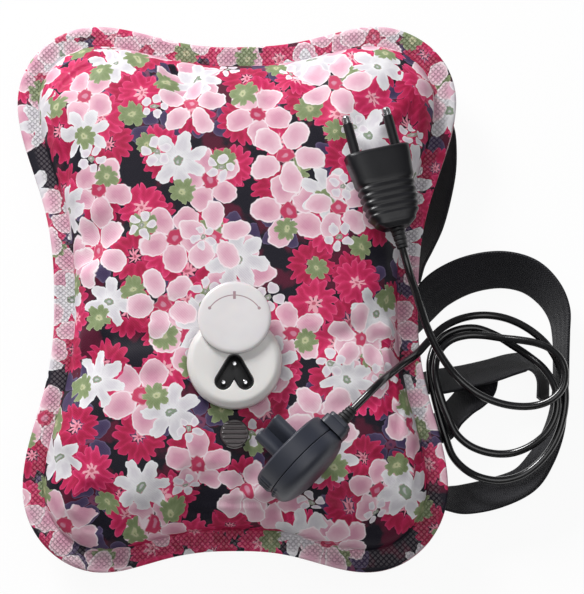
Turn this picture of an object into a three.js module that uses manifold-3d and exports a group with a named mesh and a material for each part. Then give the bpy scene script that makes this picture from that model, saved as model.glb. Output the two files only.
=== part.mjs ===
// Electric hot water bottle: a printed, welded pillow bag filled with water, with a sealed heater behind a
// three-pin charging inlet, a swivel cap over the inlet, a filler plug, a webbing waist belt behind the bag,
// and a loose charging lead that lies on the bag with its round connector and two-pin mains plug.
// Millimetres. +X is the bag's right, +Y its top edge, +Z out of the printed face.
// The origin is the centre of the flat underside that the bag rests on.

import * as THREE from "three";
import { mergeVertices } from "three/addons/utils/BufferGeometryUtils.js";
import Module from "manifold-3d";

const wasm = await Module();
wasm.setup();

// Fits that every sub-assembly shares
const FIT_GAP = 0.3;
const RUN_GAP = 0.4;
const CUT_OVERRUN = 1;

// Bag: two panels of coated fabric, welded flat round their edge
const BAG_WIDTH = 197;
const WAIST_WIDTH = 166;
const BAG_LENGTH = 254;
const MIDDLE_LENGTH = 235;
const BAG_SHIFT = 3;
const TOP_FLARE_SHARE = 0.042;
const CORNER_RADIUS = 37;
const BAG_THICKNESS = 47;
const SEAM_HEIGHT = 22;
const SEAM_WIDTH = 10;
const PANEL_WALL = 1.2;
const HOLLOW_POWER_SHARE = 1.35;
const REST_DEPTH = 3;
const POUCH_GAP = 0.6;
const CROWN_POWER_SHARE = 5;
const CROWN_ROOT_SHARE = 0.55;
const CROWN_RING_SHARES = [0.5, 0.74, 0.88, 0.96, 1];
const POUCH_RING_SHARES = [0.5, 0.88, 0.96, 1];
const SIDE_STEPS = 5;
const CORNER_STEPS = 4;
const TOP_STEPS = 3;

// Weld pads: moulded rings in the front panel that the inlet and the filler seat on
const PAD_RISE = 0.3;
const PAD_THICKNESS = 1.9;

// Charging inlet, on the bag's centre line
const INLET_Y = -33.5;
const BASE_RADIUS = 21.2;
const BASE_HEIGHT = 7;
const BASE_FOOT_BEVEL = 1;
const BASE_CROWN_HEIGHT = 2.4;
const BASE_CROWN_WIDTH = 3.4;
const NECK_RADIUS = 15;
const NECK_DEPTH = 18;
const NECK_WALL = 2;
const CHAMBER_DEPTH = 10.5;
const INLET_PAD_RADIUS = 25;
const SOCKET_DEPTH = 12;
const SOCKET_DROP = 5.3;
const CONTACT_SPREAD = 9.75;
const CONTACT_RISE = 8.4;
const LOBE_RADIUS = 3;
const LINER_WALL = 0.5;
const LINER_FLOOR = 1;
const CONTACT_RADIUS = 1.2;
const CONTACT_RECESS = 2;
const CONTACT_TAIL = 2.5;

// Swivel cap, which turns half a circle from beside the socket to over it
const CAP_RADIUS = 16.3;
const CAP_THICKNESS = 3.6;
const CAP_DOME = 1.1;
const CAP_EDGE_ROUND = 1;
const CAP_SWING = 11.6;
const PIVOT_OFFSET = 7.2;
const PIVOT_RADIUS = 2.4;
const PIVOT_REACH = 2.2;
const PIVOT_DEPTH = 4;
const PIVOT_FOOT = 1.6;
const WASHER_RADIUS = 4;
const WASHER_THICKNESS = 0.7;

// Clamping of the inlet under the front panel
const SEAL_THICKNESS = 1.5;
const SEAL_RADIUS = 18.6;
const NUT_THICKNESS = 4.5;
const NUT_ACROSS = 39;
const NUT_SIDES = 8;

// Heater, hanging under the inlet in the water
const MOUNT_THICKNESS = 2;
const CAGE_RADIUS = 15;
const CAGE_DEPTH = 23;
const CAGE_WALL = 1.4;
const CAGE_SLOTS = 6;
const CAGE_SLOT_WIDTH = 4;
const CAGE_SLOT_MARGIN = 4;
const ELEMENT_RADIUS = 2.2;
const ELEMENT_SPREAD = 12;
const ELEMENT_DEPTH = 19;
const ELEMENT_TAIL = 3;
const ELEMENT_SIDES = 8;
const ELEMENT_STEPS = 16;
const ELEMENT_BEND_STEPS = 6;
const THERMOSTAT_RADIUS = 4.6;
const THERMOSTAT_HEIGHT = 4;
const THERMOSTAT_X = -6.4;
const THERMOSTAT_Y = 1.6;
const FUSE_RADIUS = 1.5;
const FUSE_LENGTH = 8;
const FUSE_X = 7.4;
const WIRE_RADIUS = 0.6;
const WIRE_SIDES = 6;
const WIRE_STEPS = 6;

// Filler with its pull-out plug, below the inlet
const FILLER_Y = -65;
const PLUG_HEAD_RADIUS = 6.3;
const PLUG_HEAD_THICKNESS = 2.2;
const PLUG_HEAD_RISE = 0.5;
const PLUG_STEM_RADIUS = 4.5;
const PLUG_STEM_LENGTH = 8;
const PLUG_RIB_WIDTH = 0.9;
const PLUG_RIB_HEIGHT = 0.5;
const PLUG_RIB_PITCH = 2.6;
const FILLER_PAD_THICKNESS = 3.2;
const PORT_WALL = 1.7;
const PORT_LENGTH = 10;
const PORT_FLANGE_RADIUS = 11;
const PORT_FLANGE_THICKNESS = 1.6;

// Waist belt: flat webbing that stands tilted where it bends round
const BELT_WIDTH = 20;
const BELT_THICKNESS = 1.4;
const BELT_STEPS_PER_POINT = 2;
const TAB_LENGTH = 18;
const TAB_WIDTH = 7;
const TAB_THICKNESS = 1.2;
// Belt runs: each point has its distance beyond the middle of the right-hand seam as a share of the belt's
// width, its place along the bag as a share of the bag's half length, and its tilt as a share of a right
// angle, from lying flat to standing on edge.
const BELT_SHORT_RUN_SHARES = [
  [-0.15, 0.7, 0.68],
  [0.02, 0.64, 0.62],
  [0.13, 0.57, 0.54],
  [0.24, 0.49, 0.48],
  [0.32, 0.39, 0.47],
  [0.33, 0.3, 0.5],
  [0.24, 0.22, 0.57],
  [0.12, 0.15, 0.64],
  [0.05, 0.08, 0.68],
];
const BELT_OUTER_LOOP_SHARES = [
  [0.05, -0.07, 0.68],
  [0.33, -0.01, 0.56],
  [0.79, 0.07, 0.46],
  [1.4, 0.12, 0.46],
  [2.13, 0.14, 0.48],
  [2.75, 0.12, 0.53],
  [3.26, 0.055, 0.64],
  [3.52, -0.025, 0.74],
  [3.55, -0.11, 0.82],
  [3.49, -0.2, 0.84],
  [3.39, -0.28, 0.84],
  [3.22, -0.36, 0.82],
  [2.91, -0.46, 0.72],
  [2.46, -0.56, 0.6],
  [2, -0.635, 0.5],
  [1.3, -0.68, 0.43],
  [0.7, -0.7, 0.45],
  [0.35, -0.7, 0.53],
  [-0.04, -0.69, 0.68],
];
const BELT_MIDDLE_RUN_SHARES = [
  [2.87, -0.35, 0.8],
  [2.98, -0.283, 0.79],
  [2.94, -0.233, 0.72],
  [2.73, -0.205, 0.64],
  [2.37, -0.211, 0.58],
  [1.82, -0.236, 0.55],
  [1.2, -0.258, 0.54],
  [0.61, -0.274, 0.51],
  [-0.03, -0.287, 0.68],
];
const BELT_TAIL_RUN_SHARES = [
  [1.54, -0.258, 0.24],
  [1.47, -0.291, 0.3],
  [1.28, -0.327, 0.42],
  [1, -0.362, 0.52],
  [0.69, -0.401, 0.54],
  [0.37, -0.443, 0.44],
  [0.02, -0.472, 0.68],
];
// The belt's welded tabs under the right-hand seam: shares of the bag's half length from its middle
const TAB_SHARES = {
  belt_tab_top: 0.66,
  belt_tab_waist: 0,
  belt_tab_middle: -0.27,
  belt_tab_tail: -0.47,
  belt_tab_bottom: -0.7,
};

// Charging connector: a round head with a flat face and a domed back, standing on its rim
const HEAD_RADIUS = 19.2;
const FACE_THICKNESS = 8.8;
const FACE_BEVEL = 0.8;
const BACK_DEPTH = 10.6;
const BACK_SKIRT = 2.4;
const DOME_STEPS = 5;
const NOSE_LENGTH = 12.6;
const NOSE_LOBE_RADIUS = 2.7;
const SLEEVE_RADIUS = 1.75;
const SLEEVE_BORE = 1.4;
const SLEEVE_SET_BACK = 0.6;
const SLEEVE_LENGTH = 15;
const GRIP_RIBS = 7;
const GRIP_RIB_WIDTH = 1.1;
const GRIP_RIB_HEIGHT = 0.7;
const GRIP_RIB_PITCH = 2.6;
const COLLAR_LENGTH = 5.7;
const COLLAR_WIDTH = 17;
const COLLAR_HEIGHT = 13;
const COLLAR_STEP = 1;
const COLLAR_STEP_LENGTH = 2.2;
const COLLAR_CORNER = 2.5;
const HEAD_X = 29.6;
const HEAD_Y = -80.3;
const HEAD_TURN = 45.6;
const HEAD_RELIEF_LENGTH = 7;
const RELIEF_ROOT_RADIUS = 3.3;
const RELIEF_TIP_RADIUS = 2.4;
const RELIEF_GROOVES = 3;
const RELIEF_GROOVE_DEPTH = 0.3;
const RELIEF_GROOVE_WIDTH = 0.7;

// Mains plug: a flat wedge body with two sleeved round pins
const PLUG_X = 63.3;
const PLUG_Y = 62.7;
const PLUG_TURN = 14.5;
const PLUG_LEAN = 9;
const PLUG_WIDTH = 30;
const PLUG_THICKNESS = 14;
const PLUG_LENGTH = 37;
const PLUG_CORNER = 4;
const PLUG_WIDTH_SHARES = [1, 0.97, 0.84, 0.79, 0.77, 0.73, 0.52, 0.33];
const PLUG_THICKNESS_SHARES = [0.92, 1, 1, 0.98, 0.96, 0.93, 0.82, 0.66];
const PLUG_STATION_SHARES = [0, 0.05, 0.36, 0.44, 0.62, 0.8, 0.92, 1];
const PLUG_CORNER_SHARE = 0.42;
const PLUG_GRIP_START_SHARE = 0.4;
const PLUG_GRIP_END_SHARE = 0.84;
const PLUG_GRIP_RIBS = 5;
const PLUG_GRIP_DEPTH = 0.7;
const PIN_SPACING = 19;
const PIN_RADIUS = 2;
const PIN_LENGTH = 19;
const PIN_TIP_BEVEL = 1;
const PIN_SLEEVE_LENGTH = 12;
const PIN_SLEEVE_WALL = 0.25;
const PIN_SOCKET_DEPTH = 6;
const PLUG_RELIEF_LENGTH = 9;
const SEAT_SAMPLES = 8;

// Cord between the connector and the plug
const CORD_DIAMETER = 3.5;
const CORD_SIDES = 8;
const CORD_STEPS = 80;
const CORD_EXIT = 5;
const CORD_SAMPLES = 800;
const CORD_NEIGHBOUR_LENGTH = 20;
const CORD_ROUTE = [
  // from the connector down over the seam
  [60.8, -48.4, 63.4], [65.6, -43.2, 59], [70.2, -38, 49.4], [75.5, -32, 38], [81.8, -26, 29.5], [88, -18.6, 24.5],
  // outermost arc, to the right, round and back along the lowest one
  [94.8, -11.6, 20], [103.2, -7, 16.5], [112.8, -5.2, 15], [123, -6.8, 16], [132.8, -12, 18.5],
  [141.4, -20.4, 21.5], [147, -31, 22.5], [149.2, -43, 22], [147.5, -55.5, 21.5], [143, -66.5, 20.8],
  [136, -75, 20], [128, -80.3, 20], [118.5, -82.3, 20.5], [109.5, -80.6, 20.5], [102.8, -76.4, 19],
  [98, -70.4, 17.2], [95.2, -62.5, 16.8], [92.6, -53.5, 17.4], [90.2, -44, 18.6], [88.4, -34.8, 18.4],
  [88.6, -25.8, 17], [92.2, -17.6, 15.4],
  // second turn, inside the first
  [99.4, -12.6, 15], [109, -11.2, 15], [118.4, -14.6, 15.6], [126, -19.6, 17], [133, -25, 19.6],
  [139.5, -31.6, 23], [144.3, -40.5, 24.8], [145, -51, 24.5], [141, -60, 22.8], [133.5, -66.3, 20.3],
  [124.5, -69.5, 18], [115, -69.2, 17], [106, -66, 17.5], [99.8, -60.8, 19.4], [96, -53.4, 21.6],
  [92.8, -45, 23], [90.8, -37, 23.4], [90.6, -29.6, 22.4], [92.8, -22.6, 21],
  // last turn, which crosses over the others and goes back up to the plug
  [97.8, -17.8, 19.8], [104.6, -15.6, 19.4], [112.4, -15.6, 19.8], [121, -17.2, 21.6], [129, -18.6, 24],
  [136.4, -20.4, 26], [142.4, -23.4, 27.6], [146.8, -28.4, 28.8], [148.6, -35, 29.2], [147, -41.8, 29.5],
  [142.2, -46.8, 29], [135.4, -49.2, 27.4], [127, -49.4, 26.2], [118, -47.4, 25.2], [109, -43.2, 24.8],
  [101, -37, 26.2], [94.6, -29.8, 29.6], [89.8, -22.4, 33], [86, -14.6, 36.6],
  [83.2, -7.2, 40.6], [80.8, -0.2, 44.8], [78.5, 5.2, 49.4],
];

const MERGE_DISTANCE = 0.0001;
const QUARTER_TURN = 90;
const ROUND_STEPS = 28;
const SMALL_ROUND_STEPS = 12;
const LOBE_STEPS = 4;
const CORNER_ARC_STEPS = 2;
const UP = new THREE.Vector3(0, 0, 1);

// Finishes
const finishes = {
  print: finish("#a83a62", 0.62, 0),
  pouch: finish("#c9cdd2", 0.4, 0),
  ivory: finish("#e9e6e4", 0.32, 0),
  black: finish("#17181b", 0.5, 0),
  slate: finish("#3a3d47", 0.48, 0),
  smoke: finish("#4a4448", 0.25, 0),
  webbing: finish("#16161a", 0.85, 0),
  cord: finish("#141416", 0.3, 0),
  rubber: finish("#222222", 0.7, 0),
  white: finish("#dcdcd8", 0.45, 0),
  steel: finish("#b9bcc0", 0.28, 1),
  brass: finish("#c9a35a", 0.3, 1),
  copperWire: finish("#b3472e", 0.45, 0),
};

function finish(color, roughness, metalness) {
  return new THREE.MeshStandardMaterial({ color, roughness, metalness });
}

// A closed geometry as a solid, with its faces turned out.
function solidOf(geometry) {
  const bare = new THREE.BufferGeometry();
  bare.setAttribute("position", geometry.getAttribute("position").clone());
  if (geometry.index) bare.setIndex(geometry.index.clone());
  const merged = mergeVertices(bare, MERGE_DISTANCE);
  const triVerts = new Uint32Array(merged.index.array);
  const vertProperties = merged.attributes.position.array;
  const made = new wasm.Manifold(new wasm.Mesh({ numProp: 3, vertProperties, triVerts }));
  if (made.volume() >= 0) return made;
  for (let i = 0; i < triVerts.length; i += 3) {
    [triVerts[i + 1], triVerts[i + 2]] = [triVerts[i + 2], triVerts[i + 1]];
  }
  return new wasm.Manifold(new wasm.Mesh({ numProp: 3, vertProperties, triVerts }));
}

function geometryOf(solid) {
  const { vertProperties, triVerts } = solid.getMesh();
  const geometry = new THREE.BufferGeometry();
  geometry.setAttribute("position", new THREE.BufferAttribute(new Float32Array(vertProperties), 3));
  geometry.setIndex(new THREE.BufferAttribute(new Uint32Array(triVerts), 1));
  return geometry;
}

function join(first, ...others) {
  return others.reduce((whole, next) => whole.add(next), first);
}

function cut(body, ...tools) {
  return tools.reduce((whole, tool) => whole.subtract(tool), body);
}

// A named mesh from a solid or a closed geometry.
function piece(name, shape, material) {
  const solid = shape.isBufferGeometry ? solidOf(shape) : shape;
  const geometry = geometryOf(solid).toNonIndexed();
  geometry.computeVertexNormals();
  const mesh = new THREE.Mesh(geometry, material);
  mesh.name = name;
  return mesh;
}

// A profile of [radius, height] pairs turned about the Z axis.
function turned(profile, steps = ROUND_STEPS) {
  const points = profile.map(([radius, height]) => new THREE.Vector2(radius, height));
  return solidOf(new THREE.LatheGeometry(points, steps).rotateX(Math.PI / 2));
}

function rod(radius, low, high, steps = SMALL_ROUND_STEPS) {
  return turned([[0, low], [radius, low], [radius, high], [0, high]], steps);
}

function ring(inner, outer, low, high, steps = ROUND_STEPS) {
  return turned([[inner, low], [outer, low], [outer, high], [inner, high], [inner, low]], steps);
}

function moved(solid, x, y, z = 0) {
  return solid.translate([x, y, z]);
}

// A flat shape extruded from one height to another.
function slab(shape, low, high, curveSegments = LOBE_STEPS) {
  const geometry = new THREE.ExtrudeGeometry(shape, { depth: high - low, bevelEnabled: false, curveSegments });
  return solidOf(geometry.translate(0, 0, low));
}

function roundedRectangle(width, height, corner) {
  const shape = new THREE.Shape();
  const right = width / 2 - corner;
  const top = height / 2 - corner;
  shape.absarc(right, top, corner, 0, Math.PI / 2);
  shape.absarc(-right, top, corner, Math.PI / 2, Math.PI);
  shape.absarc(-right, -top, corner, Math.PI, 1.5 * Math.PI);
  shape.absarc(right, -top, corner, 1.5 * Math.PI, 2 * Math.PI);
  return shape;
}

// A closed skin over rings of points that each run the same way round, ended by a tip point at each end.
function loft(rings, startTip, endTip) {
  const count = rings[0].length;
  const points = [startTip, ...rings.flat(), endTip];
  const index = [];
  for (let i = 0; i < count; i += 1) {
    const next = (i + 1) % count;
    index.push(0, 1 + next, 1 + i);
    for (let k = 0; k + 1 < rings.length; k += 1) {
      const low = 1 + k * count;
      const high = low + count;
      index.push(low + i, low + next, high + next, low + i, high + next, high + i);
    }
    const last = 1 + (rings.length - 1) * count;
    index.push(last + i, last + next, points.length - 1);
  }
  const geometry = new THREE.BufferGeometry().setFromPoints(points);
  geometry.setIndex(index);
  return geometry;
}

function middleOf(points) {
  return points.reduce((sum, p) => sum.add(p), new THREE.Vector3()).divideScalar(points.length);
}

// The bag's edge in plan, moved inwards by an inset: round corner lobes joined by hollow sides. It flares
// towards the top, and its middle lies above the origin.
function bagOutline(inset) {
  const sideEnd = BAG_LENGTH / 2 - CORNER_RADIUS;
  const topEnd = BAG_WIDTH / 2 - CORNER_RADIUS;
  const sideSink = (BAG_WIDTH - WAIST_WIDTH) / 2;
  const topSink = (BAG_LENGTH - MIDDLE_LENGTH) / 2;
  const radius = CORNER_RADIUS - inset;
  const hollow = (share) => (1 + Math.cos(Math.PI * share ** HOLLOW_POWER_SHARE)) / 2;
  const quarter = [];
  for (let i = 0; i < SIDE_STEPS; i += 1) {
    const share = i / SIDE_STEPS;
    quarter.push([BAG_WIDTH / 2 - inset - sideSink * hollow(share), sideEnd * share]);
  }
  for (let i = 0; i < CORNER_STEPS; i += 1) {
    const turn = (i / CORNER_STEPS) * (Math.PI / 2);
    quarter.push([topEnd + radius * Math.cos(turn), sideEnd + radius * Math.sin(turn)]);
  }
  for (let i = TOP_STEPS; i >= 0; i -= 1) {
    const share = i / TOP_STEPS;
    quarter.push([topEnd * share, BAG_LENGTH / 2 - inset - topSink * hollow(share)]);
  }
  const back = quarter.slice(0, -1).reverse();
  const even = [
    ...quarter,
    ...back.map(([x, y]) => [-x, y]),
    ...quarter.slice(1).map(([x, y]) => [-x, -y]),
    ...back.slice(0, -1).map(([x, y]) => [x, -y]),
  ];
  return even.map(([x, y]) => [x * (1 + (TOP_FLARE_SHARE * y) / (BAG_LENGTH / 2)), y + BAG_SHIFT]);
}

function bagRing(inset, share, height) {
  return bagOutline(inset).map(([x, y]) => new THREE.Vector3(x * share, y * share, height));
}

// How full the pillow is at a share of the way from its centre to its seam.
function fullness(share) {
  return (1 - share ** CROWN_POWER_SHARE) ** CROWN_ROOT_SHARE;
}

// Rings of one pillow surface, from its centre out to the seam.
function crownRings(inset, heightAt, shares = CROWN_RING_SHARES) {
  return shares.map((share) => bagRing(inset, share, heightAt(fullness(share))));
}

const frontSeam = SEAM_HEIGHT + FIT_GAP / 2;
const backSeam = SEAM_HEIGHT - FIT_GAP / 2;
const seamTop = frontSeam + PANEL_WALL;
const seamUnderside = backSeam - PANEL_WALL;

const frontOuter = (full) => seamTop + (BAG_THICKNESS - seamTop) * full;
const frontInner = (full) => frontSeam + (BAG_THICKNESS - PANEL_WALL - frontSeam) * full;
const backOuter = (full) => Math.max(0, seamUnderside - (seamUnderside + REST_DEPTH) * full);
const backInner = (full) => Math.max(PANEL_WALL, backSeam - (backSeam - PANEL_WALL + REST_DEPTH) * full);

// A panel: a lower and an upper surface that meet round the flat weld seam.
function panel(lowerAt, lowerInset, lowerSeam, upperAt, upperInset, upperSeam) {
  const lower = crownRings(lowerInset, lowerAt);
  const upper = crownRings(upperInset, upperAt).reverse();
  const rings = [...lower, bagRing(0, 1, lowerSeam), bagRing(0, 1, upperSeam), ...upper];
  return solidOf(
    loft(rings, new THREE.Vector3(0, 0, lowerAt(1)), new THREE.Vector3(0, 0, upperAt(1))),
  );
}

// The height of the printed face above a place in plan.
function crownHeight(x, y) {
  const rim = bagOutline(SEAM_WIDTH);
  const cross = (a, b) => a[0] * b[1] - a[1] * b[0];
  const spot = [x, y];
  for (let i = 0; i < rim.length; i += 1) {
    const from = rim[i];
    const to = rim[(i + 1) % rim.length];
    if (cross(from, spot) < 0 || cross(spot, to) < 0) continue;
    const along = [to[0] - from[0], to[1] - from[1]];
    const share = cross(spot, along) / cross(from, along);
    return share < 1 ? frontOuter(fullness(share)) : seamTop;
  }
  return frontOuter(1);
}

// The height at which a group must sit so that its lowest sample points clear the printed face.
function seatHeight(group, samples) {
  group.updateMatrixWorld(true);
  const heights = samples.map((sample) => {
    const spot = sample.clone().applyMatrix4(group.matrixWorld);
    return crownHeight(spot.x, spot.y) - spot.z;
  });
  return Math.max(...heights) + FIT_GAP;
}

// The three-lobed charging shape: two legs of round-ended outline that meet in the upper contact.
function trefoil(radius, low, high) {
  const top = new THREE.Vector2(0, CONTACT_RISE / 2);
  const legs = [-1, 1].map((side) => {
    const foot = new THREE.Vector2((side * CONTACT_SPREAD) / 2, -CONTACT_RISE / 2);
    const heading = Math.atan2(foot.y - top.y, foot.x - top.x);
    const leg = new THREE.Shape();
    leg.absarc(foot.x, foot.y, radius, heading - Math.PI / 2, heading + Math.PI / 2);
    leg.absarc(top.x, top.y, radius, heading + Math.PI / 2, heading + 1.5 * Math.PI);
    return slab(leg, low, high);
  });
  return join(...legs);
}

function contactPlaces() {
  const half = CONTACT_SPREAD / 2;
  const rise = CONTACT_RISE / 2;
  return [
    ["left", -half, -rise],
    ["right", half, -rise],
    ["earth", 0, rise],
  ];
}

const inletSeat = BAG_THICKNESS + PAD_RISE;
const fillerSeat = crownHeight(0, FILLER_Y) + PAD_RISE;
const fillerHole = PLUG_HEAD_RADIUS + 2 * FIT_GAP;
const nutTop = -PAD_THICKNESS - FIT_GAP - SEAL_THICKNESS - FIT_GAP;
const nutFoot = nutTop - NUT_THICKNESS;
const mountTop = -NECK_DEPTH - FIT_GAP;
const cageTop = mountTop - MOUNT_THICKNESS - FIT_GAP;
const cageFoot = cageTop - CAGE_DEPTH;
const chamberTop = CHAMBER_DEPTH - NECK_DEPTH;

// Bag shells and the water pouch

function makeFrontPanel() {
  const shell = panel(frontInner, SEAM_WIDTH + PANEL_WALL, frontSeam, frontOuter, SEAM_WIDTH, seamTop);
  const inletPad = rod(INLET_PAD_RADIUS, inletSeat - PAD_THICKNESS, inletSeat, ROUND_STEPS);
  const fillerPad = rod(PORT_FLANGE_RADIUS, fillerSeat - FILLER_PAD_THICKNESS, fillerSeat, ROUND_STEPS);
  const inletHole = rod(NECK_RADIUS + FIT_GAP, 0, BAG_THICKNESS + SEAM_HEIGHT, ROUND_STEPS);
  const plugHole = rod(fillerHole, 0, BAG_THICKNESS + SEAM_HEIGHT, ROUND_STEPS);
  const padded = join(shell, moved(inletPad, 0, INLET_Y), moved(fillerPad, 0, FILLER_Y));
  return cut(padded, moved(inletHole, 0, INLET_Y), moved(plugHole, 0, FILLER_Y));
}

function makeBackPanel() {
  return panel(backOuter, SEAM_WIDTH, seamUnderside, backInner, SEAM_WIDTH + PANEL_WALL, backSeam);
}

function makeWaterPouch() {
  const floor = PANEL_WALL + FIT_GAP;
  const ceiling = BAG_THICKNESS - PANEL_WALL - FIT_GAP;
  const inset = SEAM_WIDTH + PANEL_WALL + POUCH_GAP;
  const lowerAt = (full) => Math.max(floor, SEAM_HEIGHT - (SEAM_HEIGHT - floor + REST_DEPTH) * full);
  const upperAt = (full) => SEAM_HEIGHT + (ceiling - SEAM_HEIGHT) * full;
  const lower = crownRings(inset, lowerAt, POUCH_RING_SHARES);
  const upper = crownRings(inset, upperAt, POUCH_RING_SHARES).reverse().slice(1);
  const body = solidOf(
    loft([...lower, ...upper], new THREE.Vector3(0, 0, floor), new THREE.Vector3(0, 0, ceiling)),
  );
  const top = CUT_OVERRUN;
  const padFoot = -PAD_THICKNESS - FIT_GAP;
  const nutReach = NUT_ACROSS / 2 / Math.cos(Math.PI / NUT_SIDES) + FIT_GAP;
  const heaterWell = turned([
    [0, cageFoot - FIT_GAP],
    [CAGE_RADIUS + FIT_GAP, cageFoot - FIT_GAP],
    [CAGE_RADIUS + FIT_GAP, nutFoot - FIT_GAP],
    [nutReach, nutFoot - FIT_GAP],
    [nutReach, padFoot],
    [INLET_PAD_RADIUS + FIT_GAP, padFoot],
    [INLET_PAD_RADIUS + FIT_GAP, top],
    [0, top],
  ]);
  const portFoot = -PAD_THICKNESS - PORT_LENGTH - FIT_GAP;
  const flangeFoot = -FILLER_PAD_THICKNESS - FIT_GAP - PORT_FLANGE_THICKNESS - FIT_GAP;
  const portReach = PLUG_STEM_RADIUS + FIT_GAP + PORT_WALL + FIT_GAP;
  const portWell = turned([
    [0, portFoot],
    [portReach, portFoot],
    [portReach, flangeFoot],
    [PORT_FLANGE_RADIUS + FIT_GAP, flangeFoot],
    [PORT_FLANGE_RADIUS + FIT_GAP, top],
    [0, top],
  ]);
  return cut(body, moved(heaterWell, 0, INLET_Y, inletSeat), moved(portWell, 0, FILLER_Y, fillerSeat));
}

// Inlet pieces, each in the inlet's own frame with height 0 on the weld pad

function makeInletBase() {
  const chamberRadius = NECK_RADIUS - NECK_WALL;
  const crownFoot = BASE_HEIGHT - BASE_CROWN_HEIGHT;
  const body = turned([
    [0, chamberTop],
    [chamberRadius, chamberTop],
    [chamberRadius, -NECK_DEPTH],
    [NECK_RADIUS, -NECK_DEPTH],
    [NECK_RADIUS, FIT_GAP],
    [BASE_RADIUS - BASE_FOOT_BEVEL, FIT_GAP],
    [BASE_RADIUS, FIT_GAP + BASE_FOOT_BEVEL],
    [BASE_RADIUS, crownFoot],
    [BASE_RADIUS - BASE_CROWN_WIDTH / 4, BASE_HEIGHT - BASE_CROWN_HEIGHT / 3],
    [BASE_RADIUS - BASE_CROWN_WIDTH, BASE_HEIGHT],
    [0, BASE_HEIGHT],
  ]);
  const above = BASE_HEIGHT + CUT_OVERRUN;
  const pocketFloor = BASE_HEIGHT - SOCKET_DEPTH - FIT_GAP;
  const pocket = trefoil(LOBE_RADIUS + LINER_WALL + FIT_GAP, pocketFloor, above);
  const tails = contactPlaces().map(([, x, y]) =>
    moved(rod(CONTACT_RADIUS + FIT_GAP, chamberTop - CUT_OVERRUN, above), x, y - SOCKET_DROP));
  const pivotBore = rod(PIVOT_RADIUS + FIT_GAP, BASE_HEIGHT - PIVOT_DEPTH - FIT_GAP, above);
  const footBore = rod(PIVOT_RADIUS + PIVOT_FOOT + FIT_GAP, BASE_HEIGHT - PIVOT_DEPTH - FIT_GAP,
    BASE_HEIGHT - PIVOT_DEPTH + PIVOT_FOOT + FIT_GAP);
  const washerSeat = rod(WASHER_RADIUS + FIT_GAP, BASE_HEIGHT - WASHER_THICKNESS - FIT_GAP, above);
  return cut(
    body,
    moved(pocket, 0, -SOCKET_DROP),
    ...tails,
    moved(pivotBore, 0, PIVOT_OFFSET),
    moved(footBore, 0, PIVOT_OFFSET),
    moved(washerSeat, 0, PIVOT_OFFSET),
  );
}

function makeSocketLiner() {
  const floor = BASE_HEIGHT - SOCKET_DEPTH;
  const cup = trefoil(LOBE_RADIUS + LINER_WALL, floor, BASE_HEIGHT);
  const hollow = trefoil(LOBE_RADIUS, floor + LINER_FLOOR, BASE_HEIGHT + CUT_OVERRUN);
  const holes = contactPlaces().map(([, x, y]) =>
    moved(rod(CONTACT_RADIUS + FIT_GAP, floor - CUT_OVERRUN, BASE_HEIGHT), x, y));
  return moved(cut(cup, hollow, ...holes), 0, -SOCKET_DROP);
}

function makeContactPin() {
  const tip = BASE_HEIGHT - CONTACT_RECESS;
  const shoulder = tip - CONTACT_RADIUS / 2;
  return turned([
    [0, chamberTop - CONTACT_TAIL],
    [CONTACT_RADIUS, chamberTop - CONTACT_TAIL],
    [CONTACT_RADIUS, shoulder],
    [CONTACT_RADIUS / 2, tip],
    [0, tip],
  ], SMALL_ROUND_STEPS);
}

// The cap and its pivot are drawn about the pivot axis, with the cap standing open beside the socket.
function makeSwivelCap() {
  const foot = BASE_HEIGHT + FIT_GAP;
  const edge = foot + CAP_THICKNESS - CAP_DOME;
  const disc = turned([
    [0, foot],
    [CAP_RADIUS - CAP_EDGE_ROUND / 2, foot],
    [CAP_RADIUS, foot + CAP_EDGE_ROUND / 2],
    [CAP_RADIUS, edge - CAP_EDGE_ROUND],
    [CAP_RADIUS - CAP_EDGE_ROUND / 3, edge - CAP_EDGE_ROUND / 3],
    [CAP_RADIUS - CAP_EDGE_ROUND, edge],
    [CAP_RADIUS / 2, foot + CAP_THICKNESS - CAP_DOME / 4],
    [0, foot + CAP_THICKNESS],
  ]);
  const bore = rod(PIVOT_RADIUS + RUN_GAP, BASE_HEIGHT - CUT_OVERRUN, foot + PIVOT_REACH);
  return cut(moved(disc, 0, CAP_SWING), bore);
}

function makePivotPin() {
  const foot = BASE_HEIGHT - PIVOT_DEPTH;
  const top = BASE_HEIGHT + FIT_GAP + PIVOT_REACH - RUN_GAP;
  return turned([
    [0, foot],
    [PIVOT_RADIUS, foot],
    [PIVOT_RADIUS, top - PIVOT_RADIUS / 4],
    [PIVOT_RADIUS - PIVOT_RADIUS / 4, top],
    [0, top],
  ], SMALL_ROUND_STEPS);
}

function makePivotWasher() {
  return ring(PIVOT_RADIUS + FIT_GAP, WASHER_RADIUS, BASE_HEIGHT - WASHER_THICKNESS, BASE_HEIGHT,
    SMALL_ROUND_STEPS);
}

function makeSealRing() {
  const top = -PAD_THICKNESS - FIT_GAP;
  return ring(NECK_RADIUS + FIT_GAP, SEAL_RADIUS, top - SEAL_THICKNESS, top);
}

function makeClampNut() {
  const outline = new THREE.Shape();
  const reach = NUT_ACROSS / 2 / Math.cos(Math.PI / NUT_SIDES);
  for (let i = 0; i < NUT_SIDES; i += 1) {
    const turn = ((2 * i + 1) * Math.PI) / NUT_SIDES;
    const corner = [reach * Math.cos(turn), reach * Math.sin(turn)];
    if (i === 0) outline.moveTo(...corner);
    else outline.lineTo(...corner);
  }
  outline.closePath();
  const body = slab(outline, nutFoot, nutTop);
  return cut(body, rod(NECK_RADIUS + FIT_GAP, nutFoot - CUT_OVERRUN, nutTop + CUT_OVERRUN, ROUND_STEPS));
}

// Heater pieces, in the inlet's frame

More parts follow.
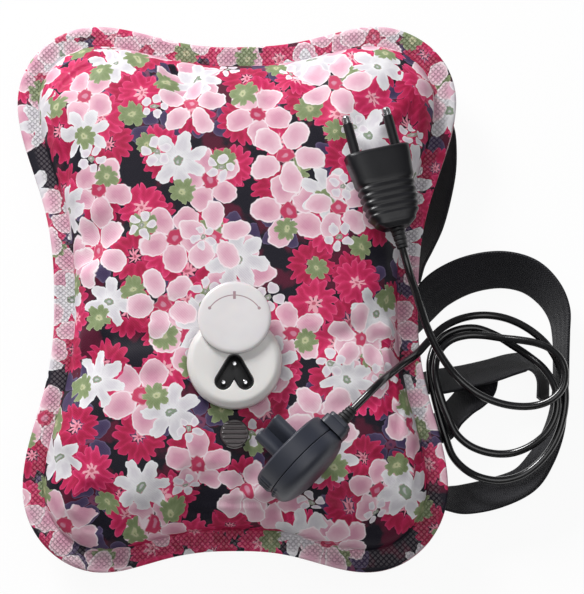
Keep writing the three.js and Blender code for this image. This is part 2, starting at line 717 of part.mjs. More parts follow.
function makeHeaterMount() {
  const plate = rod(CAGE_RADIUS, mountTop - MOUNT_THICKNESS, mountTop, ROUND_STEPS);
  const holes = [-1, 1].map((side) =>
    moved(rod(ELEMENT_RADIUS + FIT_GAP, mountTop - MOUNT_THICKNESS - CUT_OVERRUN, mountTop + CUT_OVERRUN),
      (side * ELEMENT_SPREAD) / 2, 0));
  return cut(plate, ...holes);
}

function makeHeaterCage() {
  const inner = CAGE_RADIUS - CAGE_WALL;
  const cup = turned([
    [0, cageFoot],
    [CAGE_RADIUS, cageFoot],
    [CAGE_RADIUS, cageTop],
    [inner, cageTop],
    [inner, cageFoot + CAGE_WALL],
    [0, cageFoot + CAGE_WALL],
  ]);
  const slotHeight = CAGE_DEPTH - 2 * CAGE_SLOT_MARGIN;
  const slots = Array.from({ length: CAGE_SLOTS }, (_, i) => {
    const bar = new THREE.BoxGeometry(CAGE_RADIUS, CAGE_SLOT_WIDTH, slotHeight);
    bar.translate(CAGE_RADIUS, 0, cageFoot + CAGE_DEPTH / 2);
    return solidOf(bar.rotateZ((i * 2 * Math.PI) / CAGE_SLOTS));
  });
  return cut(cup, ...slots);
}

// A round tube along a list of points, its ends square to the route.
function tube(points, radius, sides, steps) {
  const section = new THREE.Shape();
  section.absarc(0, 0, radius, 0, 2 * Math.PI);
  const extrudePath = new THREE.CatmullRomCurve3(points);
  const geometry = new THREE.ExtrudeGeometry(section, { steps, extrudePath, curveSegments: sides / 2 });
  return solidOf(geometry);
}

function makeHeatingElement() {
  const half = ELEMENT_SPREAD / 2;
  const top = mountTop + ELEMENT_TAIL;
  const bend = cageTop - ELEMENT_DEPTH + half + ELEMENT_RADIUS;
  const points = [new THREE.Vector3(-half, 0, top), new THREE.Vector3(-half, 0, (top + bend) / 2)];
  for (let i = 0; i <= ELEMENT_BEND_STEPS; i += 1) {
    const turn = Math.PI + (i / ELEMENT_BEND_STEPS) * Math.PI;
    points.push(new THREE.Vector3(half * Math.cos(turn), 0, bend + half * Math.sin(turn)));
  }
  points.push(new THREE.Vector3(half, 0, (top + bend) / 2), new THREE.Vector3(half, 0, top));
  return tube(points, ELEMENT_RADIUS, ELEMENT_SIDES, ELEMENT_STEPS);
}

function makeThermostat() {
  const top = chamberTop - FIT_GAP;
  return moved(rod(THERMOSTAT_RADIUS, top - THERMOSTAT_HEIGHT, top, SMALL_ROUND_STEPS),
    THERMOSTAT_X, THERMOSTAT_Y);
}

function makeThermalFuse() {
  const geometry = new THREE.CylinderGeometry(FUSE_RADIUS, FUSE_RADIUS, FUSE_LENGTH, SMALL_ROUND_STEPS);
  return solidOf(geometry.translate(FUSE_X, 0, chamberTop - FIT_GAP - FUSE_RADIUS));
}

// The three inner wires, each from a contact's tail to what it feeds.
function makeWires() {
  const tailFoot = chamberTop - CONTACT_TAIL - FIT_GAP - WIRE_RADIUS;
  const elementTop = mountTop + ELEMENT_TAIL + FIT_GAP + WIRE_RADIUS;
  const sag = (tailFoot + elementTop) / 2;
  const half = ELEMENT_SPREAD / 2;
  const [left, right, earth] = contactPlaces().map(([, x, y]) =>
    new THREE.Vector3(x, y - SOCKET_DROP, tailFoot));
  const routes = {
    live_wire: [left, new THREE.Vector3(-half, left.y, sag), new THREE.Vector3(-half, 0, elementTop)],
    neutral_wire: [right, new THREE.Vector3(half, right.y, sag), new THREE.Vector3(half, 0, elementTop)],
    earth_wire: [earth, new THREE.Vector3(0, half / 2, sag),
      new THREE.Vector3(0, half, mountTop + FIT_GAP + WIRE_RADIUS)],
  };
  return Object.entries(routes).map(([name, points]) =>
    piece(name, tube(points, WIRE_RADIUS, WIRE_SIDES, WIRE_STEPS), finishes.copperWire));
}

// Filler pieces, in the filler's own frame with height 0 on its weld pad

function makeFillerPort() {
  const inner = PLUG_STEM_RADIUS + FIT_GAP;
  const outer = inner + PORT_WALL;
  const top = -PAD_THICKNESS;
  const flangeTop = -FILLER_PAD_THICKNESS - FIT_GAP;
  return turned([
    [inner, top - PORT_LENGTH],
    [outer, top - PORT_LENGTH],
    [outer, flangeTop - PORT_FLANGE_THICKNESS],
    [PORT_FLANGE_RADIUS, flangeTop - PORT_FLANGE_THICKNESS],
    [PORT_FLANGE_RADIUS, flangeTop],
    [outer, flangeTop],
    [outer, top],
    [inner, top],
    [inner, top - PORT_LENGTH],
  ]);
}

function makeFillerPlug() {
  const headFoot = PLUG_HEAD_RISE - PLUG_HEAD_THICKNESS;
  const body = turned([
    [0, headFoot - PLUG_STEM_LENGTH],
    [PLUG_STEM_RADIUS - FIT_GAP, headFoot - PLUG_STEM_LENGTH],
    [PLUG_STEM_RADIUS, headFoot - PLUG_STEM_LENGTH + PLUG_RIB_WIDTH],
    [PLUG_STEM_RADIUS, headFoot],
    [PLUG_HEAD_RADIUS, headFoot],
    [PLUG_HEAD_RADIUS, PLUG_HEAD_RISE - PLUG_RIB_HEIGHT],
    [PLUG_HEAD_RADIUS - PLUG_RIB_HEIGHT, PLUG_HEAD_RISE],
    [0, PLUG_HEAD_RISE],
  ]);
  const ribs = [-1, 0, 1].map((row) => {
    const reach = Math.sqrt((PLUG_HEAD_RADIUS - PLUG_RIB_WIDTH) ** 2 - (row * PLUG_RIB_PITCH) ** 2);
    const bar = new THREE.BoxGeometry(2 * reach, PLUG_RIB_WIDTH, 2 * PLUG_RIB_HEIGHT);
    return solidOf(bar.translate(0, row * PLUG_RIB_PITCH, PLUG_HEAD_RISE));
  });
  return join(body, ...ribs);
}

// A belt run: a ribbon that follows its points and turns to the tilt given at each.
function makeBelt(shares) {
  const reach = BAG_LENGTH / 2;
  const curve = new THREE.CatmullRomCurve3(shares.map(([beyond, along, tilt]) =>
    new THREE.Vector3(seamMiddleX(along * reach) + beyond * BELT_WIDTH, along * reach, tilt * reach)));
  const steps = BELT_STEPS_PER_POINT * (shares.length - 1);
  const rings = [];
  for (let i = 0; i <= steps; i += 1) {
    const spot = curve.getPoint(i / steps);
    const tilt = (spot.z / reach) * (Math.PI / 2);
    const along = curve.getTangent(i / steps).setZ(0).normalize();
    const side = new THREE.Vector3().crossVectors(UP, along);
    const rise = Math.sin(tilt) * (BELT_WIDTH / 2) + Math.cos(tilt) * (BELT_THICKNESS / 2);
    const centre = new THREE.Vector3(spot.x, spot.y, rise + FIT_GAP);
    const wide = side.clone().multiplyScalar(Math.cos(tilt)).addScaledVector(UP, Math.sin(tilt));
    const thick = new THREE.Vector3().crossVectors(along, wide);
    rings.push([[-1, -1], [1, -1], [1, 1], [-1, 1]].map(([w, t]) =>
      centre.clone()
        .addScaledVector(wide, (w * BELT_WIDTH) / 2)
        .addScaledVector(thick, (t * BELT_THICKNESS) / 2)));
  }
  return loft(rings, middleOf(rings[0]), middleOf(rings.at(-1)));
}

// A tab lies along the middle of the seam, on the chord between two places on it.
function makeBeltTab(share) {
  const middle = (share * BAG_LENGTH) / 2;
  const [from, to] = [middle - TAB_LENGTH / 2, middle + TAB_LENGTH / 2].map((y) => [seamMiddleX(y), y]);
  const shape = roundedRectangle(TAB_LENGTH, TAB_WIDTH, TAB_WIDTH / 4);
  const top = seamUnderside - FIT_GAP;
  const plate = slab(shape, top - TAB_THICKNESS, top, CORNER_ARC_STEPS);
  const turn = THREE.MathUtils.radToDeg(Math.atan2(to[1] - from[1], to[0] - from[0]));
  return moved(plate.rotate([0, 0, turn]), (from[0] + to[0]) / 2, middle);
}

// Where the middle of the right-hand seam lies at a place along the bag's side.
function seamMiddleX(y) {
  const rim = bagOutline(SEAM_WIDTH / 2);
  const crossings = rim.flatMap((from, i) => {
    const to = rim[(i + 1) % rim.length];
    return (from[1] > y) === (to[1] > y) ? [] : [THREE.MathUtils.mapLinear(y, from[1], to[1], from[0], to[0])];
  });
  return Math.max(...crossings);
}

// Connector pieces, about the head's axis: +Z out of the flat face, +X towards the cord

function gripRibs(low, high) {
  return Array.from({ length: GRIP_RIBS }, (_, i) => {
    const turn = ((i - (GRIP_RIBS - 1) / 2) * GRIP_RIB_PITCH) / HEAD_RADIUS;
    const bar = new THREE.BoxGeometry(2 * GRIP_RIB_HEIGHT, GRIP_RIB_WIDTH, high - low);
    bar.translate(-HEAD_RADIUS, 0, (low + high) / 2);
    return solidOf(bar.rotateZ(turn));
  });
}

function makeConnectorFace() {
  const low = FIT_GAP / 2;
  const disc = turned([
    [0, low],
    [HEAD_RADIUS, low],
    [HEAD_RADIUS, FACE_THICKNESS - FACE_BEVEL],
    [HEAD_RADIUS - FACE_BEVEL, FACE_THICKNESS],
    [0, FACE_THICKNESS],
  ]);
  const tip = FACE_THICKNESS + NOSE_LENGTH;
  const boreFloor = tip - SLEEVE_SET_BACK - SLEEVE_LENGTH - FIT_GAP;
  const nose = trefoil(NOSE_LOBE_RADIUS, FACE_THICKNESS - CUT_OVERRUN, tip);
  const bores = contactPlaces().map(([, x, y]) =>
    moved(rod(SLEEVE_RADIUS + FIT_GAP, boreFloor, tip + CUT_OVERRUN), x, y));
  const ribs = gripRibs(FACE_BEVEL, FACE_THICKNESS - 2 * FACE_BEVEL);
  return cut(join(disc, nose, ...ribs), ...bores);
}

function makeConnectorBack() {
  const low = -FIT_GAP / 2;
  const profile = [[0, low], [HEAD_RADIUS, low]];
  for (let i = 0; i <= DOME_STEPS; i += 1) {
    const turn = (i / DOME_STEPS) * (Math.PI / 2);
    profile.push([HEAD_RADIUS * Math.cos(turn), -BACK_SKIRT - (BACK_DEPTH - BACK_SKIRT) * Math.sin(turn)]);
  }
  return join(turned(profile), ...gripRibs(-BACK_SKIRT, -FACE_BEVEL));
}

function makeContactSleeve() {
  const tip = FACE_THICKNESS + NOSE_LENGTH - SLEEVE_SET_BACK;
  return ring(SLEEVE_BORE, SLEEVE_RADIUS, tip - SLEEVE_LENGTH, tip, SMALL_ROUND_STEPS);
}

function makeConnectorCollar() {
  const root = slab(roundedRectangle(COLLAR_HEIGHT, COLLAR_WIDTH, COLLAR_CORNER),
    0, HEAD_RADIUS + COLLAR_LENGTH - COLLAR_STEP_LENGTH, CORNER_ARC_STEPS);
  const tip = slab(
    roundedRectangle(COLLAR_HEIGHT - 2 * COLLAR_STEP, COLLAR_WIDTH - 2 * COLLAR_STEP, COLLAR_CORNER),
    0, HEAD_RADIUS + COLLAR_LENGTH, CORNER_ARC_STEPS);
  const clear = rod(HEAD_RADIUS + FIT_GAP, -COLLAR_WIDTH, COLLAR_WIDTH, ROUND_STEPS);
  return cut(join(root, tip).rotate([0, QUARTER_TURN, 0]), clear);
}

// A ribbed, tapered sleeve round the cord where it leaves a housing, along +Z from its root.
function makeRelief(length) {
  const inner = CORD_DIAMETER / 2 + FIT_GAP;
  const profile = [[inner, 0], [RELIEF_ROOT_RADIUS, 0]];
  for (let i = 1; i <= RELIEF_GROOVES; i += 1) {
    const share = i / (RELIEF_GROOVES + 1);
    const radius = THREE.MathUtils.lerp(RELIEF_ROOT_RADIUS, RELIEF_TIP_RADIUS, share);
    const from = length * share - RELIEF_GROOVE_WIDTH / 2;
    const to = length * share + RELIEF_GROOVE_WIDTH / 2;
    profile.push([radius, from], [radius - RELIEF_GROOVE_DEPTH, (from + to) / 2], [radius, to]);
  }
  profile.push([RELIEF_TIP_RADIUS, length], [inner, length], [inner, 0]);
  return turned(profile, SMALL_ROUND_STEPS);
}

// Mains plug pieces: +Y along the pins, the flat front face at Y 0

function makePlugBody() {
  const gripStep = (PLUG_GRIP_END_SHARE - PLUG_GRIP_START_SHARE) / (2 * PLUG_GRIP_RIBS);
  const gripShares = Array.from({ length: 2 * PLUG_GRIP_RIBS + 1 },
    (_, i) => PLUG_GRIP_START_SHARE + i * gripStep);
  const plainShares = PLUG_STATION_SHARES.filter(
    (share) => share < PLUG_GRIP_START_SHARE || share > PLUG_GRIP_END_SHARE,
  );
  const stations = [...plainShares, ...gripShares].sort((a, b) => a - b);
  const sections = [];
  for (const share of stations) {
    const groove = gripShares.indexOf(share) % 2 === 1 ? PLUG_GRIP_DEPTH : 0;
    const width = PLUG_WIDTH * readShares(PLUG_WIDTH_SHARES, share) - 2 * groove;
    const thickness = PLUG_THICKNESS * readShares(PLUG_THICKNESS_SHARES, share) - 2 * groove;
    const corner = Math.min(PLUG_CORNER, thickness * PLUG_CORNER_SHARE);
    const outline = roundedRectangle(width, thickness, corner).getPoints(CORNER_ARC_STEPS).slice(0, -1);
    sections.push(outline.map(({ x, y }) => new THREE.Vector3(x, -share * PLUG_LENGTH, y)));
  }
  const body = solidOf(loft(sections, middleOf(sections[0]), middleOf(sections.at(-1))));
  const bore = rod(PIN_RADIUS + FIT_GAP, 0, PIN_SOCKET_DEPTH + FIT_GAP + CUT_OVERRUN);
  const bores = [-1, 1].map((side) =>
    moved(bore.rotate([QUARTER_TURN, 0, 0]), (side * PIN_SPACING) / 2, CUT_OVERRUN));
  return cut(body, ...bores);
}

// A value read along a list of shares that sit at the plug's stations.
function readShares(shares, at) {
  const next = PLUG_STATION_SHARES.findIndex((station) => station >= at);
  if (next <= 0) return shares[0];
  const from = PLUG_STATION_SHARES[next - 1];
  const blend = THREE.MathUtils.smoothstep(at, from, PLUG_STATION_SHARES[next]);
  return THREE.MathUtils.lerp(shares[next - 1], shares[next], blend);
}

function makePlugPin() {
  const pin = turned([
    [0, -PIN_SOCKET_DEPTH],
    [PIN_RADIUS, -PIN_SOCKET_DEPTH],
    [PIN_RADIUS, FIT_GAP],
    [PIN_RADIUS - PIN_SLEEVE_WALL - FIT_GAP, FIT_GAP],
    [PIN_RADIUS - PIN_SLEEVE_WALL - FIT_GAP, PIN_SLEEVE_LENGTH + FIT_GAP],
    [PIN_RADIUS, PIN_SLEEVE_LENGTH + FIT_GAP],
    [PIN_RADIUS, PIN_LENGTH - PIN_TIP_BEVEL],
    [PIN_RADIUS - PIN_TIP_BEVEL, PIN_LENGTH],
    [0, PIN_LENGTH],
  ], SMALL_ROUND_STEPS);
  return pin.rotate([-QUARTER_TURN, 0, 0]);
}

function makePinSleeve() {
  const sleeve = ring(PIN_RADIUS - PIN_SLEEVE_WALL, PIN_RADIUS + PIN_SLEEVE_WALL, 2 * FIT_GAP,
    PIN_SLEEVE_LENGTH, SMALL_ROUND_STEPS);
  return sleeve.rotate([-QUARTER_TURN, 0, 0]);
}

// Assembly

const bottle = new THREE.Group();
bottle.add(
  piece("front_panel", makeFrontPanel(), finishes.print),
  piece("back_panel", makeBackPanel(), finishes.print),
  piece("water_pouch", makeWaterPouch(), finishes.pouch),
);

const inlet = new THREE.Group();
inlet.position.set(0, INLET_Y, inletSeat);
inlet.add(
  piece("inlet_base", makeInletBase(), finishes.ivory),
  piece("socket_liner", makeSocketLiner(), finishes.black),
  piece("seal_ring", makeSealRing(), finishes.rubber),
  piece("clamp_nut", makeClampNut(), finishes.white),
  piece("heater_mount", makeHeaterMount(), finishes.white),
  piece("heater_cage", makeHeaterCage(), finishes.white),
  piece("heating_element", makeHeatingElement(), finishes.steel),
  piece("thermostat", makeThermostat(), finishes.steel),
  piece("thermal_fuse", makeThermalFuse(), finishes.white),
  ...makeWires(),
);
for (const [side, x, y] of contactPlaces()) {
  const pin = piece(`contact_pin_${side}`, makeContactPin(), finishes.steel);
  pin.position.set(x, y - SOCKET_DROP, 0);
  inlet.add(pin);
}
const pivot = new THREE.Group();
pivot.position.set(0, PIVOT_OFFSET, 0);
pivot.add(
  piece("swivel_cap", makeSwivelCap(), finishes.ivory),
  piece("cap_pivot_pin", makePivotPin(), finishes.steel),
  piece("cap_washer", makePivotWasher(), finishes.rubber),
);
inlet.add(pivot);
bottle.add(inlet);

const filler = new THREE.Group();
filler.position.set(0, FILLER_Y, fillerSeat);
filler.add(
  piece("filler_port", makeFillerPort(), finishes.white),
  piece("filler_plug", makeFillerPlug(), finishes.smoke),
);
bottle.add(filler);

bottle.add(
  piece("belt_short_run", makeBelt(BELT_SHORT_RUN_SHARES), finishes.webbing),
  piece("belt_outer_loop", makeBelt(BELT_OUTER_LOOP_SHARES), finishes.webbing),
  piece("belt_middle_run", makeBelt(BELT_MIDDLE_RUN_SHARES), finishes.webbing),
  piece("belt_tail_run", makeBelt(BELT_TAIL_RUN_SHARES), finishes.webbing),
);
for (const [name, shares] of Object.entries(TAB_SHARES)) {
  bottle.add(piece(name, makeBeltTab(shares), finishes.rubber));
}

const head = new THREE.Group();
const headTurn = THREE.MathUtils.degToRad(HEAD_TURN);
const headX = new THREE.Vector3(Math.cos(headTurn), Math.sin(headTurn), 0);
const headZ = new THREE.Vector3(-Math.sin(headTurn), Math.cos(headTurn), 0);
const headY = new THREE.Vector3().crossVectors(headZ, headX);
head.quaternion.setFromRotationMatrix(new THREE.Matrix4().makeBasis(headX, headY, headZ));
head.position.set(HEAD_X, HEAD_Y, 0);
const rimDepths = [-BACK_SKIRT, 0, FACE_THICKNESS - FACE_BEVEL];
head.position.z = seatHeight(head, rimDepths.map((depth) => new THREE.Vector3(0, HEAD_RADIUS, depth)));
head.add(
  piece("connector_face", makeConnectorFace(), finishes.slate),
  piece("connector_back", makeConnectorBack(), finishes.slate),
  piece("connector_collar", makeConnectorCollar(), finishes.slate),
);
for (const [side, x, y] of contactPlaces()) {
  const sleeve = piece(`contact_sleeve_${side}`, makeContactSleeve(), finishes.brass);
  sleeve.position.set(x, y, 0);
  head.add(sleeve);
}
const headRelief = piece("connector_relief", makeRelief(HEAD_RELIEF_LENGTH), finishes.black);
headRelief.rotation.y = Math.PI / 2;
headRelief.position.x = HEAD_RADIUS + COLLAR_LENGTH + FIT_GAP;
head.add(headRelief);
bottle.add(head);

const plug = new THREE.Group();
plug.position.set(PLUG_X, PLUG_Y, 0);
plug.rotation.set(0, THREE.MathUtils.degToRad(PLUG_LEAN), THREE.MathUtils.degToRad(PLUG_TURN), "ZYX");
const seatShares = Array.from({ length: SEAT_SAMPLES + 1 }, (_, i) => i / SEAT_SAMPLES);
const plugFoot = seatShares.flatMap((across) => seatShares.map((share) =>
  new THREE.Vector3((across - 1 / 2) * PLUG_WIDTH * readShares(PLUG_WIDTH_SHARES, share),
    -share * PLUG_LENGTH, (-PLUG_THICKNESS * readShares(PLUG_THICKNESS_SHARES, share)) / 2)));
plug.position.z = seatHeight(plug, plugFoot);
plug.add(piece("mains_plug_body", makePlugBody(), finishes.black));
for (const [name, side] of [["left", -1], ["right", 1]]) {
  const pin = piece(`plug_pin_${name}`, makePlugPin(), finishes.steel);
  const sleeve = piece(`pin_sleeve_${name}`, makePinSleeve(), finishes.black);
  pin.position.x = (side * PIN_SPACING) / 2;
  sleeve.position.x = (side * PIN_SPACING) / 2;
  plug.add(pin, sleeve);
}
const plugRelief = piece("plug_relief", makeRelief(PLUG_RELIEF_LENGTH), finishes.black);
plugRelief.rotation.x = Math.PI / 2;
plugRelief.position.y = -PLUG_LENGTH - FIT_GAP;
plug.add(plugRelief);
bottle.add(plug);

// The least clear distance between turns of a cord, measured on points along it.
function leastGap(curve) {
  const points = curve.getSpacedPoints(CORD_SAMPLES);
  const spacing = curve.getLength() / CORD_SAMPLES;
  const apart = Math.ceil(CORD_NEIGHBOUR_LENGTH / spacing);
  let least = Infinity;
  for (let i = 0; i < points.length; i += 1) {
    for (let k = i + apart; k < points.length; k += 1) least = Math.min(least, points[i].distanceTo(points[k]));
  }
  return least - CORD_DIAMETER;
}

// The lead's cord leaves both housings straight, and lies in loose loops beside the bag between them.
function makeCord() {
  bottle.updateMatrixWorld(true);
  const exitOf = (relief, length) => [length + FIT_GAP, length + FIT_GAP + CORD_EXIT].map((reach) =>
    new THREE.Vector3(0, 0, reach).applyMatrix4(relief.matrixWorld));
  const start = exitOf(headRelief, HEAD_RELIEF_LENGTH);
  const end = exitOf(plugRelief, PLUG_RELIEF_LENGTH).reverse();
  const loops = CORD_ROUTE.map((point) => new THREE.Vector3(...point));
  const points = [...start, ...loops, ...end];
  const gap = leastGap(new THREE.CatmullRomCurve3(points));
  console.log(`lead cord: least gap to itself ${gap.toFixed(2)} mm`);
  return tube(points, CORD_DIAMETER / 2, CORD_SIDES, CORD_STEPS);
}
bottle.add(piece("lead_cord", makeCord(), finishes.cord));

export default bottle;
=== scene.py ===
"""Looks of an electric hot water bottle: a printed pillow bag with its inlet, belt and charging lead.

Every length is written in millimetres and turned to metres where a mesh is made. Each piece is made at the
origin of the CAD frame, so its place is in its mesh.
"""

import logging
import math
from abc import ABC, abstractmethod
from dataclasses import dataclass, field
from enum import Enum
from typing import Any, Sequence

import bmesh
import bpy
import numpy as np
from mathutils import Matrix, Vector


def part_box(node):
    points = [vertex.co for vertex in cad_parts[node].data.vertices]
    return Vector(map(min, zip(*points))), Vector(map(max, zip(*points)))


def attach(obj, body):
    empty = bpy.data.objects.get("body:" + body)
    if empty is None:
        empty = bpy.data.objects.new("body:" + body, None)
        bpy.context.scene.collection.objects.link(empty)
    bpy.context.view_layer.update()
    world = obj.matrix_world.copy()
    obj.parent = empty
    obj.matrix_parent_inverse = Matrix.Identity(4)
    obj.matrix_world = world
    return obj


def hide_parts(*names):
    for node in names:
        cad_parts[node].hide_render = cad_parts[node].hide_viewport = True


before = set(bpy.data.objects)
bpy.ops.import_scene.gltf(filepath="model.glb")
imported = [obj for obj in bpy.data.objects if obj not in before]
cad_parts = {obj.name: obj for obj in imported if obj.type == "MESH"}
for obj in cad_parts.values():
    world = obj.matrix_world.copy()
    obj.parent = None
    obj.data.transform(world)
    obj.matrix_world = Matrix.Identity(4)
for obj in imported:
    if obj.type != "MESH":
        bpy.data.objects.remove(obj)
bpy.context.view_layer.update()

LOG = logging.getLogger("hot_water_bottle")
MM = 0.001
"""Metres in a millimetre."""
GAP = 0.3
"""The clearance between neighbouring pieces, in millimetres."""
INLET_SPOT = (0.0, -33.5)
"""The middle of the charging inlet on the plan."""
FILLER_SPOT = (0.0, -65.0)
"""The middle of the filler on the plan."""
Array = np.ndarray
Point = tuple[float, float, float]
Mesh = tuple[Array, list[tuple[int, ...]]]


# Arithmetic of surfaces


def smooth(low: float, high: float, value: Array) -> Array:
    """Returns 0 below low, 1 above high and a smooth rise between them."""
    share = np.clip((np.asarray(value, float) - low) / (high - low), 0.0, 1.0)
    return share * share * (3.0 - 2.0 * share)


def ring_angles(count: int) -> Array:
    """Returns count angles that go once round a circle."""
    return np.arange(count) * (2.0 * np.pi / count)


def unit_rays(angle: Array) -> Array:
    """Returns the unit vector (cos a, sin a) of each angle."""
    return np.stack([np.cos(angle), np.sin(angle)], axis=-1)


def superellipse(angle: Array, power: float) -> tuple[Array, Array]:
    """Returns the x and y of |x| ** p + |y| ** p = 1 in the direction of each angle."""
    c, s = np.cos(angle), np.sin(angle)
    radius = (np.abs(c) ** power + np.abs(s) ** power) ** (-1 / power)
    return c * radius, s * radius


def run_lengths(points: Array) -> Array:
    """Returns how far along a line each of its points lies."""
    steps = np.linalg.norm(np.diff(points, axis=0), axis=1)
    return np.concatenate([[0], np.cumsum(steps)])


def grid_mesh(points: Array) -> Mesh:
    """Joins a grid of points into quads, with its last column joined to the first one again.

    Args:
        points: Rows of points, shaped (rows, columns, 3).

    Returns:
        The points as one list, and the faces as indices into it.
    """
    rows, columns = points.shape[:2]
    left = np.arange(rows * columns).reshape(rows, columns)
    right = np.roll(left, -1, axis=1)
    quads = np.stack([left[:-1], right[:-1], right[1:], left[1:]], axis=-1).reshape(-1, 4)
    return points.reshape(-1, 3), [tuple(quad) for quad in quads.tolist()]


def capped(points: Array) -> Array:
    """Adds a row at each end that draws the end row together in its own middle."""
    ends = [np.broadcast_to(points[k].mean(axis=0), points[k].shape) for k in (0, -1)]
    return np.concatenate([ends[0][None], points, ends[1][None]])


def lathe(profile: Sequence[tuple[float, float]], steps: int = 96) -> Array:
    """Turns a profile of (radius, height) pairs about the Z axis: (r cos a, r sin a, h)."""
    radius, height = np.asarray(profile, float).T
    angle = ring_angles(steps)
    x = radius[:, None] * np.cos(angle)
    y = radius[:, None] * np.sin(angle)
    return np.stack([x, y, np.broadcast_to(height[:, None], x.shape)], axis=-1)


def rounded(profile: Sequence[tuple[float, float, float]], steps: int = 5) -> list[tuple[float, float]]:
    """Rounds the corners of a profile with quadratic arcs.

    Args:
        profile: (radius, height, rounding) triples, the rounding as a length along both sides.
        steps: The number of pieces in each arc.

    Returns:
        The profile as (radius, height) pairs.
    """
    spots = np.asarray([(r, h) for r, h, _ in profile], float)
    out: list[tuple[float, float]] = []
    for k, (radius, height, rounding) in enumerate(profile):
        if rounding <= 0 or k in (0, len(profile) - 1):
            out.append((radius, height))
            continue
        before, after = spots[k - 1] - spots[k], spots[k + 1] - spots[k]
        reach = min(rounding, np.linalg.norm(before) / 2, np.linalg.norm(after) / 2)
        start = spots[k] + before / np.linalg.norm(before) * reach
        end = spots[k] + after / np.linalg.norm(after) * reach
        share = np.linspace(0, 1, steps + 1)[:, None]
        arc = (1 - share) ** 2 * start + 2 * share * (1 - share) * spots[k] + share**2 * end
        out.extend(map(tuple, arc.tolist()))
    return out


def placed(points: Array, origin: Sequence[float], basis: Array | None = None) -> Array:
    """Turns points by a basis, whose rows are its axes, and moves them to an origin."""
    turned = points if basis is None else points @ np.asarray(basis, float)
    return turned + np.asarray(origin, float)


def catmull_rom(points: Sequence[Sequence[float]], per_span: int) -> Array:
    """Runs a centripetal Catmull-Rom curve through points, with per_span samples between each two."""
    knots = np.asarray(points, float)
    knots = np.vstack([2 * knots[0] - knots[1], knots, 2 * knots[-1] - knots[-2]])
    a, b, c, d = knots[:-3], knots[1:-2], knots[2:-1], knots[3:]
    steps = [np.sqrt(np.linalg.norm(q - p, axis=1)) for p, q in ((a, b), (b, c), (c, d))]
    t1 = steps[0][:, None, None]
    t2 = t1 + steps[1][:, None, None]
    t3 = t2 + steps[2][:, None, None]
    t = t1 + (t2 - t1) * (np.arange(per_span) / per_span)[None, :, None]
    a, b, c, d = (k[:, None, :] for k in (a, b, c, d))
    ab = (t1 - t) / t1 * a + t / t1 * b
    bc = (t2 - t) / (t2 - t1) * b + (t - t1) / (t2 - t1) * c
    cd = (t3 - t) / (t3 - t2) * c + (t - t2) / (t3 - t2) * d
    abc = (t2 - t) / t2 * ab + t / t2 * bc
    bcd = (t3 - t) / (t3 - t1) * bc + (t - t1) / (t3 - t1) * cd
    curve = (t2 - t) / (t2 - t1) * abc + (t - t1) / (t2 - t1) * bcd
    return np.vstack([curve.reshape(-1, 3), knots[-2]])


# Meshes and objects of the scene


def read_vectors(mesh: bpy.types.Mesh, name: str) -> Array:
    """Reads the co or the normal of every point of a mesh, shaped (points, 3)."""
    values = np.empty(len(mesh.vertices) * 3)
    mesh.vertices.foreach_get(name, values)
    return values.reshape(-1, 3)


def write_vectors(mesh: bpy.types.Mesh, name: str, values: Array) -> None:
    """Writes an attribute with a vector for every point of a mesh, which a shader can read."""
    made = mesh.attributes.new(name, "FLOAT_VECTOR", "POINT")
    made.data.foreach_set("vector", values.astype(np.float32).ravel())


def add_object(name: str, data: Any) -> bpy.types.Object:
    """Makes an object of a mesh, a curve, a lamp or a camera, and links it to the scene."""
    made = bpy.data.objects.new(name, data)
    bpy.context.scene.collection.objects.link(made)
    return made


# Shader graphs


@dataclass(frozen=True)
class Signal:
    """A socket of a node tree that takes part in Python arithmetic."""

    graph: "Graph"
    socket: Any

    def __add__(self, other: Any) -> "Signal":
        """Adds a signal or a number."""
        return self.graph.math("ADD", self, other)

    def __sub__(self, other: Any) -> "Signal":
        """Takes a signal or a number away."""
        return self.graph.math("SUBTRACT", self, other)

    def __rsub__(self, other: Any) -> "Signal":
        """Is taken away from a number."""
        return self.graph.math("SUBTRACT", other, self)

    def __mul__(self, other: Any) -> "Signal":
        """Multiplies by a signal or a number."""
        return self.graph.math("MULTIPLY", self, other)

    def __truediv__(self, other: Any) -> "Signal":
        """Divides by a signal or a number."""
        return self.graph.math("DIVIDE", self, other)

    def __abs__(self) -> "Signal":
        """Drops the sign."""
        return self.graph.math("ABSOLUTE", self)


